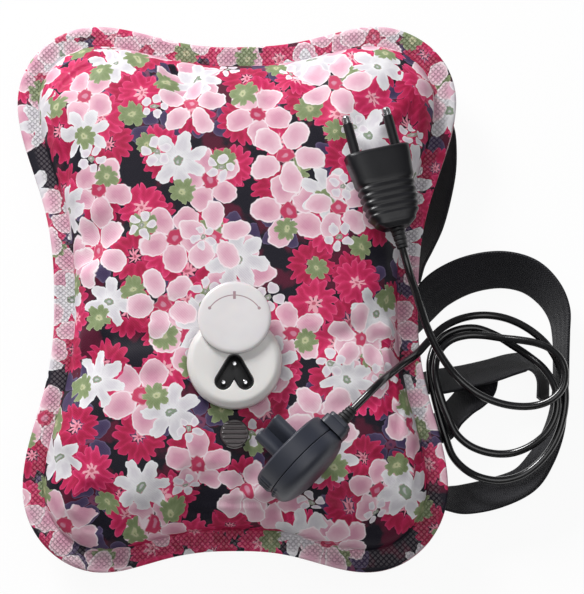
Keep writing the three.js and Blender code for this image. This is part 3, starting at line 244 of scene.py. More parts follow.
class Graph:
    """The node tree of one material."""

    def __init__(self, name: str) -> None:
        """Makes a material with an empty tree, a shader and an output."""
        self.material = bpy.data.materials.new(name)
        self.material.use_nodes = True
        self.tree = self.material.node_tree
        self.tree.nodes.clear()
        self.output = self.tree.nodes.new("ShaderNodeOutputMaterial")

    def node(self, kind: str, settings: dict[str, Any] | None = None, **sockets: Any) -> Any:
        """Adds a node.

        Args:
            kind: The node's type.
            settings: Its properties, which are set first.
            **sockets: Values or links of its input sockets, by their name, with _ for a space, or by their
                number written as in_0.

        Returns:
            The node.
        """
        made = self.tree.nodes.new(kind)
        for key, value in (settings or {}).items():
            setattr(made, key, value)
        for key, value in sockets.items():
            spot = int(key[3:]) if key.startswith("in_") else key.replace("_", " ")
            self.feed(made.inputs[spot], value)
        return made

    def feed(self, socket: Any, value: Any) -> None:
        """Links a signal or a socket to an input, or writes a plain value there."""
        if isinstance(value, Signal):
            self.tree.links.new(value.socket, socket)
        elif isinstance(value, bpy.types.NodeSocket):
            self.tree.links.new(value, socket)
        elif isinstance(value, (tuple, list)) and len(value) == 3 and socket.type == "RGBA":
            socket.default_value = (*value, 1.0)
        else:
            socket.default_value = value

    def _operate(self, kind: str, operation: str, values: Sequence[Any]) -> Any:
        """Adds a node that works on its inputs in their order, and returns its first output."""
        made = self.node(kind, {"operation": operation})
        for spot, value in zip(made.inputs, values):
            self.feed(spot, value)
        return made.outputs[0]

    def math(self, operation: str, *values: Any) -> Signal:
        """Adds one Math node on signals or numbers."""
        return Signal(self, self._operate("ShaderNodeMath", operation, values))

    def vector(self, operation: str, *values: Any) -> Any:
        """Adds one Vector Math node and returns its vector."""
        return self._operate("ShaderNodeVectorMath", operation, values)

    def length(self, x: Signal, y: Signal) -> Signal:
        """Returns the length of a vector in the plane."""
        return self.math("SQRT", x * x + y * y)

    def ease(self, value: Any, low: float, high: float) -> Signal:
        """Returns a smooth rise of a signal from 0 at low to 1 at high."""
        made = self.node(
            "ShaderNodeMapRange", {"interpolation_type": "SMOOTHSTEP"},
            Value=value, From_Min=low, From_Max=high,
        )
        return Signal(self, made.outputs[0])

    def mix(self, factor: Any, low: Any, high: Any) -> Any:
        """Mixes two colours and returns the colour."""
        made = self.node("ShaderNodeMix", {"data_type": "RGBA"}, in_0=factor, in_6=low, in_7=high)
        return made.outputs[2]

    def object_point(self) -> Any:
        """Returns the Object coordinates."""
        return self.node("ShaderNodeTexCoord").outputs["Object"]

    def attribute(self, name: str) -> Any:
        """Returns the vector of a mesh attribute."""
        return self.node("ShaderNodeAttribute", {"attribute_name": name}).outputs["Vector"]

    def split(self, vector: Any) -> tuple[Signal, Signal, Signal]:
        """Returns the three parts of a vector."""
        made = self.node("ShaderNodeSeparateXYZ", None, Vector=vector)
        return tuple(Signal(self, made.outputs[k]) for k in range(3))

    def noise(self, vector: Any, scale: float, detail: float = 2.0, roughness: float = 0.5) -> Signal:
        """Returns a noise value of about 0 to 1."""
        made = self.node(
            "ShaderNodeTexNoise", None, Vector=vector, Scale=scale, Detail=detail, Roughness=roughness
        )
        return Signal(self, made.outputs[0])

    def bump(self, height: Any, distance: float, strength: float = 1.0, below: Any = None) -> Any:
        """Returns a normal raised by a height, on top of another bump if one is given."""
        sockets = {"Height": height, "Distance": distance, "Strength": strength}
        if below is not None:
            sockets["Normal"] = below
        return self.node("ShaderNodeBump", None, **sockets).outputs[0]

    def finish(self, **sockets: Any) -> bpy.types.Material:
        """Ends the tree in a Principled shader with these values or links."""
        shader = self.node("ShaderNodeBsdfPrincipled", None, **sockets)
        self.tree.links.new(shader.outputs[0], self.output.inputs[0])
        return self.material


# Finishes

Color = tuple[float, float, float]


class Heart(Enum):
    """How the middle of a printed flower is drawn: how deep its points are cut."""

    DOT = 0.08
    STAR = 0.42


@dataclass(frozen=True)
class Lattice:
    """Where one kind of flower is strewn: its cells' pitch, turn and shift, and the share that is kept."""

    pitch: float
    turn: float
    shift: float
    kept: float


@dataclass(frozen=True)
class Petals:
    """A flower's petals: their number, and each one's length, width and split as shares of the reach."""

    count: int
    long: float
    wide: float
    split: float


@dataclass(frozen=True)
class Inks:
    """The colours that one kind of flower is printed in."""

    petal: Color
    inner: Color
    rim: Color
    heart: Color


@dataclass(frozen=True)
class Flower:
    """One kind of printed flower: its reach in millimetres, and its heart as a share of that."""

    reach: float
    heart: float
    middle: Heart
    lattice: Lattice
    petals: Petals
    inks: Inks


@dataclass(frozen=True)
class PrintedCoating:
    """A dense flower print on a dark ground, under a soft coating with a fine weave. On the seam, painted
    shade darkens the grooves between the embossed diamonds, and a painted highlight lightens the diamonds.

    Lengths and rates are in millimetres of the bag's flattened plan. Fewer flowers are kept low on the
    bag, from dense_above down to thin_below, which makes it darker towards its bottom as painted shade of its
    lower slope, and a noise swirls their outlines a little.
    """

    name: str
    ground: Color = (0.006, 0.005, 0.013)
    plum: Color = (0.09, 0.006, 0.026)
    # A pale speckle that follows the fine bump's noise, and its strength:
    pale_speckle: Color = (0.9, 0.8, 0.85)
    pale_speckle_share: float = 0.012
    # The next colour is painted shade in the seam's grooves between the embossed diamonds, and the one after
    # its strength; the two after those are a painted highlight on the diamonds and its strength.
    weld_groove_painted_shade: Color = (0.03, 0.012, 0.03)
    weld_groove_shade_share: float = 0.27
    diamond_painted_highlight: Color = (0.8, 0.7, 0.75)
    diamond_highlight_share: float = 0.1
    # Where the flowers thin out low on the bag, as painted shade of its lower slope:
    dense_above: float = 268.0
    thin_below: float = 215.0
    thinning: float = 0.12
    scatter: float = 0.34
    least_size: float = 0.84
    size_spread: float = 0.2
    swirl_rate: float = 0.17
    swirl_reach: float = 4.5
    weave_rate: float = 5.2
    diamond_rate: float = 1.2
    flowers: tuple[Flower, ...] = (
        Flower(
            12.8, 0.22, Heart.DOT, Lattice(27, 1.4, 83.9, 0.75), Petals(5, 0.4, 0.27, 0.02),
            Inks((0.07, 0.05, 0.12), (0.05, 0.03, 0.09), (0.13, 0.1, 0.19), (0.2, 0.05, 0.11)),
        ),
        Flower(
            12.4, 0.2, Heart.STAR, Lattice(25, 0.3, 3.1, 0.9), Petals(8, 0.4, 0.16, 0.13),
            Inks((0.56, 0.02, 0.1), (0.36, 0.008, 0.05), (0.62, 0.04, 0.15), (0.85, 0.32, 0.42)),
        ),
        Flower(
            11.6, 0.24, Heart.STAR, Lattice(24, 1.1, 17.7, 0.62), Petals(7, 0.42, 0.17, 0.14),
            Inks((0.7, 0.035, 0.15), (0.5, 0.015, 0.08), (0.76, 0.09, 0.23), (0.9, 0.42, 0.5)),
        ),
        Flower(
            17.6, 0.22, Heart.DOT, Lattice(36, 0.62, 9.3, 0.72), Petals(5, 0.41, 0.3, 0.03),
            Inks((0.83, 0.54, 0.62), (0.66, 0.3, 0.42), (0.92, 0.8, 0.84), (0.52, 0.04, 0.11)),
        ),
        Flower(
            14.0, 0.16, Heart.DOT, Lattice(37, 1.9, 29.9, 0.76), Petals(7, 0.43, 0.18, 0.05),
            Inks((0.8, 0.79, 0.81), (0.64, 0.61, 0.66), (0.84, 0.85, 0.88), (0.24, 0.31, 0.22)),
        ),
        Flower(
            6.4, 0.24, Heart.DOT, Lattice(23, 2.5, 41.3, 0.6), Petals(7, 0.4, 0.2, 0.1),
            Inks((0.27, 0.33, 0.17), (0.2, 0.26, 0.12), (0.38, 0.43, 0.26), (0.5, 0.52, 0.3)),
        ),
        Flower(
            18.2, 0.21, Heart.DOT, Lattice(43, 2.2, 53.9, 0.6), Petals(5, 0.4, 0.27, 0.02),
            Inks((0.86, 0.62, 0.69), (0.72, 0.38, 0.5), (0.94, 0.84, 0.87), (0.6, 0.06, 0.14)),
        ),
        Flower(
            7.2, 0.2, Heart.DOT, Lattice(29, 0.1, 67.1, 0.5), Petals(5, 0.36, 0.27, 0.02),
            Inks((0.8, 0.76, 0.8), (0.68, 0.6, 0.68), (0.9, 0.87, 0.89), (0.3, 0.34, 0.26)),
        ),
    )

    def _flower(self, graph: Graph, plan: Any, below: Any, kind: Flower, thinned: Any) -> Any:
        """Lays one kind of flower over the colours below it.

        The angle is folded so that each petal lies along u. A petal is the inside of two ellipses, a
        little apart across it: ((u - d) / long) ** 2 + ((|v| - split) / wide) ** 2 < 1.

        Args:
            graph: The tree that the nodes are added to.
            plan: The bag's flattened plan in millimetres.
            below: The colour of what is printed so far.
            kind: The flower.
            thinned: 1 where fewer flowers are kept, 0 where all of them are.

        Returns:
            The colour with the flowers on it.
        """
        lattice, petals, inks = kind.lattice, kind.petals, kind.inks
        turned = graph.node(
            "ShaderNodeMapping", None, Vector=plan, Rotation=(0.0, 0.0, lattice.turn),
            Location=(lattice.shift, lattice.shift * 1.7, 0.0),
        ).outputs[0]
        cell = graph.node(
            "ShaderNodeTexVoronoi", {"voronoi_dimensions": "2D", "feature": "F1"},
            Vector=turned, Scale=1.0 / lattice.pitch, Randomness=self.scatter,
        )
        x, y, _ = graph.split(graph.vector("SUBTRACT", turned, cell.outputs["Position"]))
        chance, size, lean = graph.split(cell.outputs["Color"])
        radius = graph.length(x, y) / ((size * self.size_spread + self.least_size) * kind.reach)
        angle = graph.math("ARCTAN2", y, x) + lean * 6.28
        half_petal = math.pi / petals.count
        fold = graph.math("PINGPONG", angle, half_petal)
        along = (radius * graph.math("COSINE", fold) - (1.0 - petals.long)) / petals.long
        across = (radius * graph.math("SINE", fold) - petals.split) / petals.wide
        level = graph.length(along, across)
        streak = graph.noise(turned, 0.55, 3.0)
        filled = graph.ease(level, 0.95, 0.15) * 0.85 + streak * 0.3 - 0.1
        petal = graph.mix(filled, inks.petal, inks.inner)
        crease = graph.ease(fold, 0.72 * half_petal, half_petal)
        petal = graph.mix(crease * graph.ease(radius, 0.9, 0.5) * 0.5, petal, inks.inner)
        petal = graph.mix(graph.ease(level, 0.82, 0.93) * 0.85, petal, inks.rim)
        star = graph.math("COSINE", angle * float(petals.count)) * kind.middle.value + 1.0
        heart = graph.ease(star * kind.heart - radius, -0.02, 0.03)
        petal = graph.mix(heart, petal, inks.heart)
        seed = graph.ease(kind.heart * 0.36 - radius, -0.02, 0.03)
        petal = graph.mix(seed * 0.75, petal, inks.inner)
        shape = graph.math("MAXIMUM", graph.ease(level, 1.02, 0.96), heart)
        kept = graph.math("LESS_THAN", chance + thinned * self.thinning, lattice.kept)
        return graph.mix(shape * kept, below, petal)

    def make(self) -> bpy.types.Material:
        """Builds the material, whose print lies on the bag's flattened plan in millimetres."""
        graph = Graph(self.name)
        plan = graph.attribute("print_plan")
        swirl = graph.node("ShaderNodeTexNoise", None, Vector=plan, Scale=self.swirl_rate, Detail=2.0)
        drawn = graph.vector("SUBTRACT", swirl.outputs["Color"], (0.5, 0.5, 0.5))
        drawn = graph.vector("MULTIPLY", drawn, (self.swirl_reach, self.swirl_reach, 0.0))
        drawn = graph.vector("ADD", plan, drawn)
        blot = graph.noise(plan, 0.05, 3.0)
        color = graph.mix(graph.ease(blot, 0.5, 0.57), self.ground, self.plum)
        x, y, _ = graph.split(plan)
        # Fewer flowers low on the bag darken it towards its bottom: painted shade of its lower slope.
        thinned = graph.ease(y, self.dense_above, self.thin_below)
        for kind in self.flowers:
            color = self._flower(graph, drawn, color, kind, thinned)
        weave = graph.math("SINE", x * self.weave_rate) * graph.math("SINE", y * self.weave_rate)
        speckle = graph.noise(plan, 2.2, 2.0)
        # Mixes in a pale speckle where the fine bump's noise is high.
        color = graph.mix(graph.ease(speckle, 0.4, 0.72) * self.pale_speckle_share, color, self.pale_speckle)
        welded = graph.split(graph.attribute("weld"))[0]
        rising = abs(graph.math("SINE", (x + y) * self.diamond_rate))
        falling = abs(graph.math("SINE", (x - y) * self.diamond_rate))
        diamond = graph.ease(rising * falling, 0.12, 0.5) * welded
        # Painted shade darkens the weld's grooves between the diamonds, and a painted highlight lightens the
        # raised diamonds.
        color = graph.mix((welded - diamond) * self.weld_groove_shade_share, color, self.weld_groove_painted_shade)
        color = graph.mix(diamond * self.diamond_highlight_share, color, self.diamond_painted_highlight)
        normal = graph.bump(weave * 0.5 + speckle, 0.00012, 0.55)
        normal = graph.bump(diamond, 0.0006, 0.9, normal)
        shine = graph.noise(plan, 0.09, 2.0) * 0.14 + 0.5
        return graph.finish(
            Base_Color=color, Roughness=shine - diamond * 0.06, Normal=normal,
            Specular_IOR_Level=0.18, Coat_Weight=0.05, Coat_Roughness=0.35,
        )


@dataclass(frozen=True)
class Moulding:
    """Moulded plastic or rubber, with a faint flow in its colour and a fine grain."""

    name: str
    color: Color
    worn: Color
    roughness: float
    grain: float = 900.0
    relief: float = 0.00004
    coat: float = 0.0
    subsurface: float = 0.0

    def make(self) -> bpy.types.Material:
        """Builds the material on Object coordinates."""
        graph = Graph(self.name)
        point = graph.object_point()
        flow = graph.noise(point, 38.0, 3.0)
        grain = graph.noise(point, self.grain, 2.0)
        color = graph.mix(graph.ease(flow, 0.35, 0.75), self.color, self.worn)
        return graph.finish(
            Base_Color=color,
            Roughness=grain * 0.08 + (self.roughness - 0.04) + flow * 0.06,
            Normal=graph.bump(grain, self.relief, 0.5),
            Coat_Weight=self.coat, Coat_Roughness=0.18, Subsurface_Weight=self.subsurface,
            Subsurface_Scale=0.002,
        )


@dataclass(frozen=True)
class CapMoulding:
    """The cap's pearly plastic, with a thin printed arc between two dots and a small turning mark.

    The arc's own middle is a little below the cap's.
    """

    name: str
    centre: tuple[float, float]
    arc_radius: float = 13.2
    half_turn: float = 0.98
    line: float = 0.32
    dot_radius: float = 0.85
    tick_half_width: float = 0.75
    tick_half_length: float = 1.9
    color: Color = (0.82, 0.79, 0.79)
    shade: Color = (0.74, 0.71, 0.73)
    ink: Color = (0.3, 0.14, 0.17)

    def make(self) -> bpy.types.Material:
        """Builds the material: the arc is a band of radius about its own middle, cut by its angle."""
        graph = Graph(self.name)
        point = graph.object_point()
        local = graph.vector("SUBTRACT", point, (self.centre[0] * MM, self.centre[1] * MM, 0.0))
        local = graph.vector("MULTIPLY", local, (1000.0, 1000.0, 0.0))
        x, y, _ = graph.split(local)
        radius = graph.length(x, y)
        angle = graph.math("ARCTAN2", x, y)
        band = graph.ease(self.line - abs(radius - self.arc_radius), 0.0, 0.16)
        arc = band * graph.ease(self.half_turn - abs(angle), 0.0, 0.03)
        dots: Any = None
        for side in (-1.0, 1.0):
            dx = x - side * self.arc_radius * math.sin(self.half_turn)
            dy = y - self.arc_radius * math.cos(self.half_turn)
            dot = graph.ease(graph.length(dx, dy), self.dot_radius, self.dot_radius - 0.25)
            dots = dot if dots is None else graph.math("MAXIMUM", dots, dot)
        tick = graph.ease(abs(x), self.tick_half_width, self.tick_half_width - 0.25)
        tick = tick * graph.ease(
            abs(y - self.arc_radius), self.tick_half_length, self.tick_half_length - 0.2
        )
        ink = graph.math("MAXIMUM", graph.math("MAXIMUM", arc, dots), tick)
        flow = graph.noise(point, 60.0, 2.0)
        color = graph.mix(graph.ease(flow, 0.3, 0.8), self.color, self.shade)
        grain = graph.noise(point, 1200.0, 2.0)
        return graph.finish(
            Base_Color=graph.mix(ink * 0.8, color, self.ink), Roughness=grain * 0.06 + 0.22,
            Normal=graph.bump(grain, 0.00002, 0.4), Coat_Weight=0.5, Coat_Roughness=0.12,
            Subsurface_Weight=0.08, Subsurface_Scale=0.002,
        )


@dataclass(frozen=True)
class Webbing:
    """Woven tape: ribs that run across it, in a herringbone of fine threads, with a firm selvedge. The raised
    threads are coloured lighter than the grooves between them, which is painted shade.
    """

    name: str
    color: Color = (0.004, 0.004, 0.006)
    # The lighter colour of the raised threads; the base colour left in the grooves is painted shade.
    thread: Color = (0.014, 0.014, 0.02)
    thread_rate: float = 5.6
    cross_rate: float = 7.4
    selvedge: float = 8.4

    def make(self) -> bpy.types.Material:
        """Builds the material on the tape's own length and width in millimetres."""
        graph = Graph(self.name)
        along, across, _ = graph.split(graph.attribute("tape"))
        lean = graph.math("PINGPONG", across, 2.5) * 0.8
        thread = graph.math("SINE", (along + lean) * self.thread_rate)
        cross = graph.math("SINE", across * self.cross_rate)
        height = thread * 0.6 + cross * 0.4
        fuzz = graph.noise(graph.attribute("tape"), 1.7, 3.0)
        edge = graph.ease(abs(across), self.selvedge, self.selvedge + 0.8)
        # Lighter where the threads are raised and darker in the grooves between them, as painted shade, with
        # random flecks from the fuzz.
        color = graph.mix(graph.ease(height, -0.2, 0.9) * 0.7 + fuzz * 0.2, self.color, self.thread)
        return graph.finish(
            Base_Color=color, Roughness=fuzz * 0.2 + 0.52 - edge * 0.1,
            Normal=graph.bump(height * 0.7 + fuzz * 0.5 + edge, 0.00022, 0.8),
            Sheen_Weight=0.08, Sheen_Roughness=0.4, Specular_IOR_Level=0.3,
        )


@dataclass(frozen=True)
class CordSheath:
    """The cord's smooth, glossy sheath, with faint handling marks along it."""

    name: str
    color: Color = (0.003, 0.003, 0.004)
    rubbed: Color = (0.009, 0.009, 0.011)

    def make(self) -> bpy.types.Material:
        """Builds the material on Object coordinates."""
        graph = Graph(self.name)
        point = graph.object_point()
        rub = graph.noise(point, 120.0, 3.0)
        ripple = graph.noise(point, 700.0, 2.0)
        return graph.finish(
            Base_Color=graph.mix(graph.ease(rub, 0.5, 0.8), self.color, self.rubbed),
            Roughness=rub * 0.16 + 0.16, Normal=graph.bump(ripple, 0.00003, 0.5),
            Coat_Weight=0.35, Coat_Roughness=0.12,
        )


@dataclass(frozen=True)
class Metal:
    """Plated metal with fine drawing lines."""

    name: str
    color: Color
    roughness: float = 0.22

    def make(self) -> bpy.types.Material:
        """Builds the material on Object coordinates."""
        graph = Graph(self.name)
        point = graph.object_point()
        lines = graph.noise(graph.vector("MULTIPLY", point, (1.0, 1.0, 12.0)), 500.0, 2.0)
        tarnish = graph.noise(point, 160.0, 3.0)
        dull = tuple(0.7 * part for part in self.color)
        return graph.finish(
            Base_Color=graph.mix(graph.ease(tarnish, 0.55, 0.85), self.color, dull),
            Metallic=1.0, Roughness=lines * 0.14 + (self.roughness - 0.05),
            Normal=graph.bump(lines, 0.00002, 0.4),
        )


@dataclass(frozen=True)
class FloorPaint:
    """A plain white floor that keeps soft shadows, and shows as white itself."""

    name: str = "studio_floor"
    white: Color = (0.93, 0.93, 0.93)
    glow: float = 0.93

    def make(self) -> bpy.types.Material:
        """Mixes plain white light into a white diffuse floor for rays from the camera and from gloss."""
        graph = Graph(self.name)
        rays = graph.node("ShaderNodeLightPath").outputs
        seen = graph.math("MAXIMUM", rays["Is Camera Ray"], rays["Is Glossy Ray"]) * self.glow
        paint = graph.node("ShaderNodeBsdfDiffuse", None, Color=self.white)
        light = graph.node("ShaderNodeEmission", None, Color=(1.0, 1.0, 1.0), Strength=1.0)
        mixed = graph.node("ShaderNodeMixShader", None, in_0=seen)
        graph.tree.links.new(paint.outputs[0], mixed.inputs[1])
        graph.tree.links.new(light.outputs[0], mixed.inputs[2])
        graph.tree.links.new(mixed.outputs[0], graph.output.inputs[0])
        return graph.material


@dataclass(frozen=True)
class Finish:
    """A material, and a slot name that nothing here reads."""

    material: bpy.types.Material
    slot: str


class Palette:
    """Every finish of the bottle, made once."""

    def __init__(self) -> None:
        """Makes the materials."""
        self.printed = Finish(PrintedCoating("printed_coating").make(), "printed_fabric")
        self.cap = Finish(CapMoulding("pearl_cap", (0.0, -18.1)).make(), "ivory_plastic")
        ivory = Moulding(
            "ivory_plastic", (0.80, 0.78, 0.76), (0.74, 0.72, 0.71), 0.3, coat=0.3, subsurface=0.06
        )
        self.ivory = Finish(ivory.make(), "ivory_plastic")
        slate = Moulding("slate_plastic", (0.03, 0.034, 0.05), (0.04, 0.044, 0.06), 0.4)
        self.slate = Finish(slate.make(), "slate_plastic")
        black = Moulding("black_plastic", (0.004, 0.004, 0.006), (0.008, 0.008, 0.011), 0.34)
        self.black = Finish(black.make(), "black_plastic")
        smoke = Moulding(
            "smoked_plastic", (0.045, 0.036, 0.038), (0.075, 0.06, 0.063), 0.3, relief=0.00001, coat=0.3
        )
        self.smoke = Finish(smoke.make(), "smoke_plastic")
        white = Moulding("white_moulding", (0.72, 0.72, 0.70), (0.66, 0.66, 0.64), 0.45)
        self.white = Finish(white.make(), "white_plastic")
        rubber = Moulding("soft_rubber", (0.01, 0.01, 0.012), (0.018, 0.018, 0.02), 0.55)
        self.rubber = Finish(rubber.make(), "rubber_black")
        wire = Moulding("wire_sleeve", (0.45, 0.07, 0.04), (0.38, 0.05, 0.03), 0.4)
        self.wire = Finish(wire.make(), "wire_sleeve")
        self.webbing = Finish(Webbing("belt_webbing").make(), "webbing")
        self.sheath = Finish(CordSheath("cord_sheath").make(), "cord_black")
        self.steel = Finish(Metal("plated_steel", (0.6, 0.6, 0.62), 0.16).make(), "steel")
        self.brass = Finish(Metal("brass_sleeve", (0.72, 0.52, 0.24)).make(), "brass")


# Pieces


class Workshop:
    """Puts finished meshes into the scene, each on its body and in the place of the CAD nodes that it hides.
    """

    @staticmethod
    def closed(name: str, *grids: Array, sharp_degrees: float = 35.0) -> bpy.types.Object:
        """Makes one object of one or more closed shells, in millimetres.

        Args:
            name: The piece's name.
            *grids: The points of each shell in rows, shaped (rows, columns, 3).
            sharp_degrees: Edges that turn more than this stay sharp.

        Returns:
            The object, its faces turned out and its points merged.
        """
        mesh = bpy.data.meshes.new(name)
        shells = [grid_mesh(grid) for grid in grids]
        points = np.concatenate([spots for spots, _ in shells]) * MM
        faces: list[tuple[int, ...]] = []
        start = 0
        for spots, shell_faces in shells:
            faces.extend(tuple(k + start for k in face) for face in shell_faces)
            start += len(spots)
        mesh.from_pydata(points.tolist(), [], faces)
        work = bmesh.new()
        work.from_mesh(mesh)
        bmesh.ops.remove_doubles(work, verts=work.verts, dist=1e-6)
        bmesh.ops.dissolve_degenerate(work, dist=1e-7, edges=work.edges)
        bmesh.ops.recalc_face_normals(work, faces=work.faces)
        work.to_mesh(mesh)
        work.free()
        mesh.polygons.foreach_set("use_smooth", np.ones(len(mesh.polygons), bool))
        mesh.set_sharp_from_angle(angle=math.radians(sharp_degrees))
        return add_object(name, mesh)

    @staticmethod
    def place(piece: bpy.types.Object, finish: Finish, body: str, *nodes: str) -> bpy.types.Object:
        """Dresses a piece, lets it ride on its body and stand for its CAD nodes.

        Args:
            piece: The piece.
            finish: What it is made of.
            body: The body that carries it.
            *nodes: The CAD nodes that it stands for.

        Returns:
            The piece.
        """
        piece.data.materials.clear()
        piece.data.materials.append(finish.material)
        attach(piece, body)
        if nodes:
            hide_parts(*nodes)
        LOG.info("%s rides on %s", piece.name, body)
        return piece

    @classmethod
    def build(
        cls, name: str, finish: Finish, body: str, node: str, *grids: Array, sharp_degrees: float = 35.0
    ) -> bpy.types.Object:
        """Makes a piece of closed shells and puts it in the place of its CAD node."""
        return cls.place(cls.closed(name, *grids, sharp_degrees=sharp_degrees), finish, body, node)

    @staticmethod
    def dress(finish: Finish, *nodes: str) -> None:
        """Gives CAD nodes that stay as they are a better material."""
        for name in nodes:
            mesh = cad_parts[name].data
            mesh.materials.clear()
            mesh.materials.append(finish.material)
            LOG.info("%s keeps its CAD shape", name)

    @staticmethod
    def finer(piece: bpy.types.Object, levels: int) -> None:
        """Adds a subdivision surface with equal view and render levels."""
        modifier = piece.modifiers.new("finer", "SUBSURF")
        modifier.levels = modifier.render_levels = levels


@dataclass(frozen=True)
class Lamp:
    """A square lamp: its place and size in metres, and its power in watts."""

    name: str
    place: Point
    size: float
    power: float


@dataclass
class Studio:
    """Camera, floor and lamps."""

    target: Point = (25.5, 1.4, 24.0)
    distance: float = 1300.0
    elevation: float = 78.0
    view_width: float = 270.3
    sensor: float = 36.0
    floor_reach: float = 4000.0
    world_light: float = 0.15
    lamps: tuple[Lamp, ...] = (
        Lamp("key", (-0.7, 1.15, 0.8), 0.5, 26.0),
        Lamp("fill", (0.3, -0.2, 1.6), 1.2, 7.5),
    )

    def make_camera(self) -> None:
        """Sets a camera almost above the bag, at the photograph's angle."""
        lean = math.radians(self.elevation)
        back = Vector((0.0, -math.cos(lean), math.sin(lean)))
        data = bpy.data.cameras.new("camera")
        data.sensor_width = self.sensor
        data.lens = self.sensor * self.distance / self.view_width
        camera = add_object("camera", data)
        camera.location = (Vector(self.target) + back * self.distance) * MM
        camera.rotation_mode = "QUATERNION"
        camera.rotation_quaternion = (-back).to_track_quat("-Z", "Y")
        bpy.context.scene.camera = camera

    def make_floor(self) -> None:
        """Lays a wide floor under the bag."""
        corners = np.array([(-1, -1, 0), (1, -1, 0), (1, 1, 0), (-1, 1, 0)]) * self.floor_reach
        mesh = bpy.data.meshes.new("floor")
        mesh.from_pydata((corners * MM).tolist(), [], [(0, 1, 2, 3)])
        floor = add_object("floor", mesh)
        mesh.materials.append(FloorPaint().make())

    def make_lamps(self) -> None:
        """Lights the bag from the upper left, with a weak fill and a dim world that the camera sees white."""
        for lamp in self.lamps:
            data = bpy.data.lights.new(lamp.name, "AREA")
            data.size, data.energy = lamp.size, lamp.power
            hung = add_object(lamp.name, data)
            hung.location = lamp.place
            hung.rotation_euler = (-Vector(lamp.place)).to_track_quat("-Z", "Y").to_euler()
        world = bpy.data.worlds.new("studio")
        world.use_nodes = True
        tree = world.node_tree
        ground = tree.nodes["Background"]
        ground.inputs["Color"].default_value = (1.0, 1.0, 1.0, 1.0)
        rays = tree.nodes.new("ShaderNodeLightPath")
        level = tree.nodes.new("ShaderNodeMapRange")
        level.inputs["To Min"].default_value = self.world_light
        level.inputs["To Max"].default_value = 1.0
        tree.links.new(rays.outputs["Is Camera Ray"], level.inputs["Value"])
        tree.links.new(level.outputs[0], ground.inputs["Strength"])
        bpy.context.scene.world = world
        bpy.context.scene.view_settings.view_transform = "Standard"


@dataclass
class Lead:
    """The lead's cord, which lies in loose loops beside the bag."""

    diameter: float = 3.5
    start: Point = (52.34, -57.08, 64.49)
    start_way: Point = (56.01, -53.33, 64.49)
    end_way: Point = (76.28, 12.5, 51.88)
    end: Point = (74.97, 17.58, 51.88)
    route: tuple[Point, ...] = (
        (60.8, -48.4, 63.4), (65.6, -43.2, 59), (70.2, -38, 49.4), (75.5, -32, 38), (81.8, -26, 29.5),
        (88, -18.6, 24.5), (94.8, -11.6, 20), (103.2, -7, 16.5), (112.8, -5.2, 15), (123, -6.8, 16),
        (132.8, -12, 18.5), (141.4, -20.4, 21.5), (147, -31, 22.5), (149.2, -43, 22), (147.5, -55.5, 21.5),
        (143, -66.5, 20.8), (136, -75, 20), (128, -80.3, 20), (118.5, -82.3, 20.5), (109.5, -80.6, 20.5),
        (102.8, -76.4, 19), (98, -70.4, 17.2), (95.2, -62.5, 16.8), (92.6, -53.5, 17.4), (90.2, -44, 18.6),
        (88.4, -34.8, 18.4), (88.6, -25.8, 17), (92.2, -17.6, 15.4), (99.4, -12.6, 15), (109, -11.2, 15),
        (118.4, -14.6, 15.6), (126, -19.6, 17), (133, -25, 19.6), (139.5, -31.6, 23), (144.3, -40.5, 24.8),
        (145, -51, 24.5), (141, -60, 22.8), (133.5, -66.3, 20.3), (124.5, -69.5, 18), (115, -69.2, 17),
        (106, -66, 17.5), (99.8, -60.8, 19.4), (96, -53.4, 21.6), (92.8, -45, 23), (90.8, -37, 23.4),
        (90.6, -29.6, 22.4), (92.8, -22.6, 21), (97.8, -17.8, 19.8), (104.6, -15.6, 19.4),
        (112.4, -15.6, 19.8), (121, -17.2, 21.6), (129, -18.6, 24), (136.4, -20.4, 26),
        (142.4, -23.4, 27.6), (146.8, -28.4, 28.8), (148.6, -35, 29.2), (147, -41.8, 29.5),
        (142.2, -46.8, 29), (135.4, -49.2, 27.4), (127, -49.4, 26.2), (118, -47.4, 25.2),
        (109, -43.2, 24.8), (101, -37, 26.2), (94.6, -29.8, 29.6), (89.8, -22.4, 33), (86, -14.6, 36.6),
        (83.2, -7.2, 40.6), (80.8, -0.2, 44.8), (78.5, 5.2, 49.4),
    )

    def centreline(self) -> Array:
        """Returns the cord's middle line, a smooth curve through its route."""
        return catmull_rom([self.start, self.start_way, *self.route, self.end_way, self.end], 8)

    def make(self, palette: Palette) -> bpy.types.Object:
        """Makes the cord as a curve with a round section."""
        points = self.centreline() * MM
        curve = bpy.data.curves.new("charging_cord", "CURVE")
        curve.dimensions = "3D"
        curve.bevel_depth = self.diameter / 2 * MM
        curve.bevel_resolution = 5
        curve.use_fill_caps = True
        spline = curve.splines.new("POLY")
        spline.points.add(len(points) - 1)
        spline.points.foreach_set("co", np.column_stack([points, np.ones(len(points))]).ravel())
        spline.use_smooth = True
        cord = add_object("charging_cord", curve)
        return Workshop.place(cord, palette.sheath, "lead", "lead_cord")

    def declare(self) -> None:
        """Works out the cord's middle line in metres, and does nothing more with it."""
        points = self.centreline() * MM


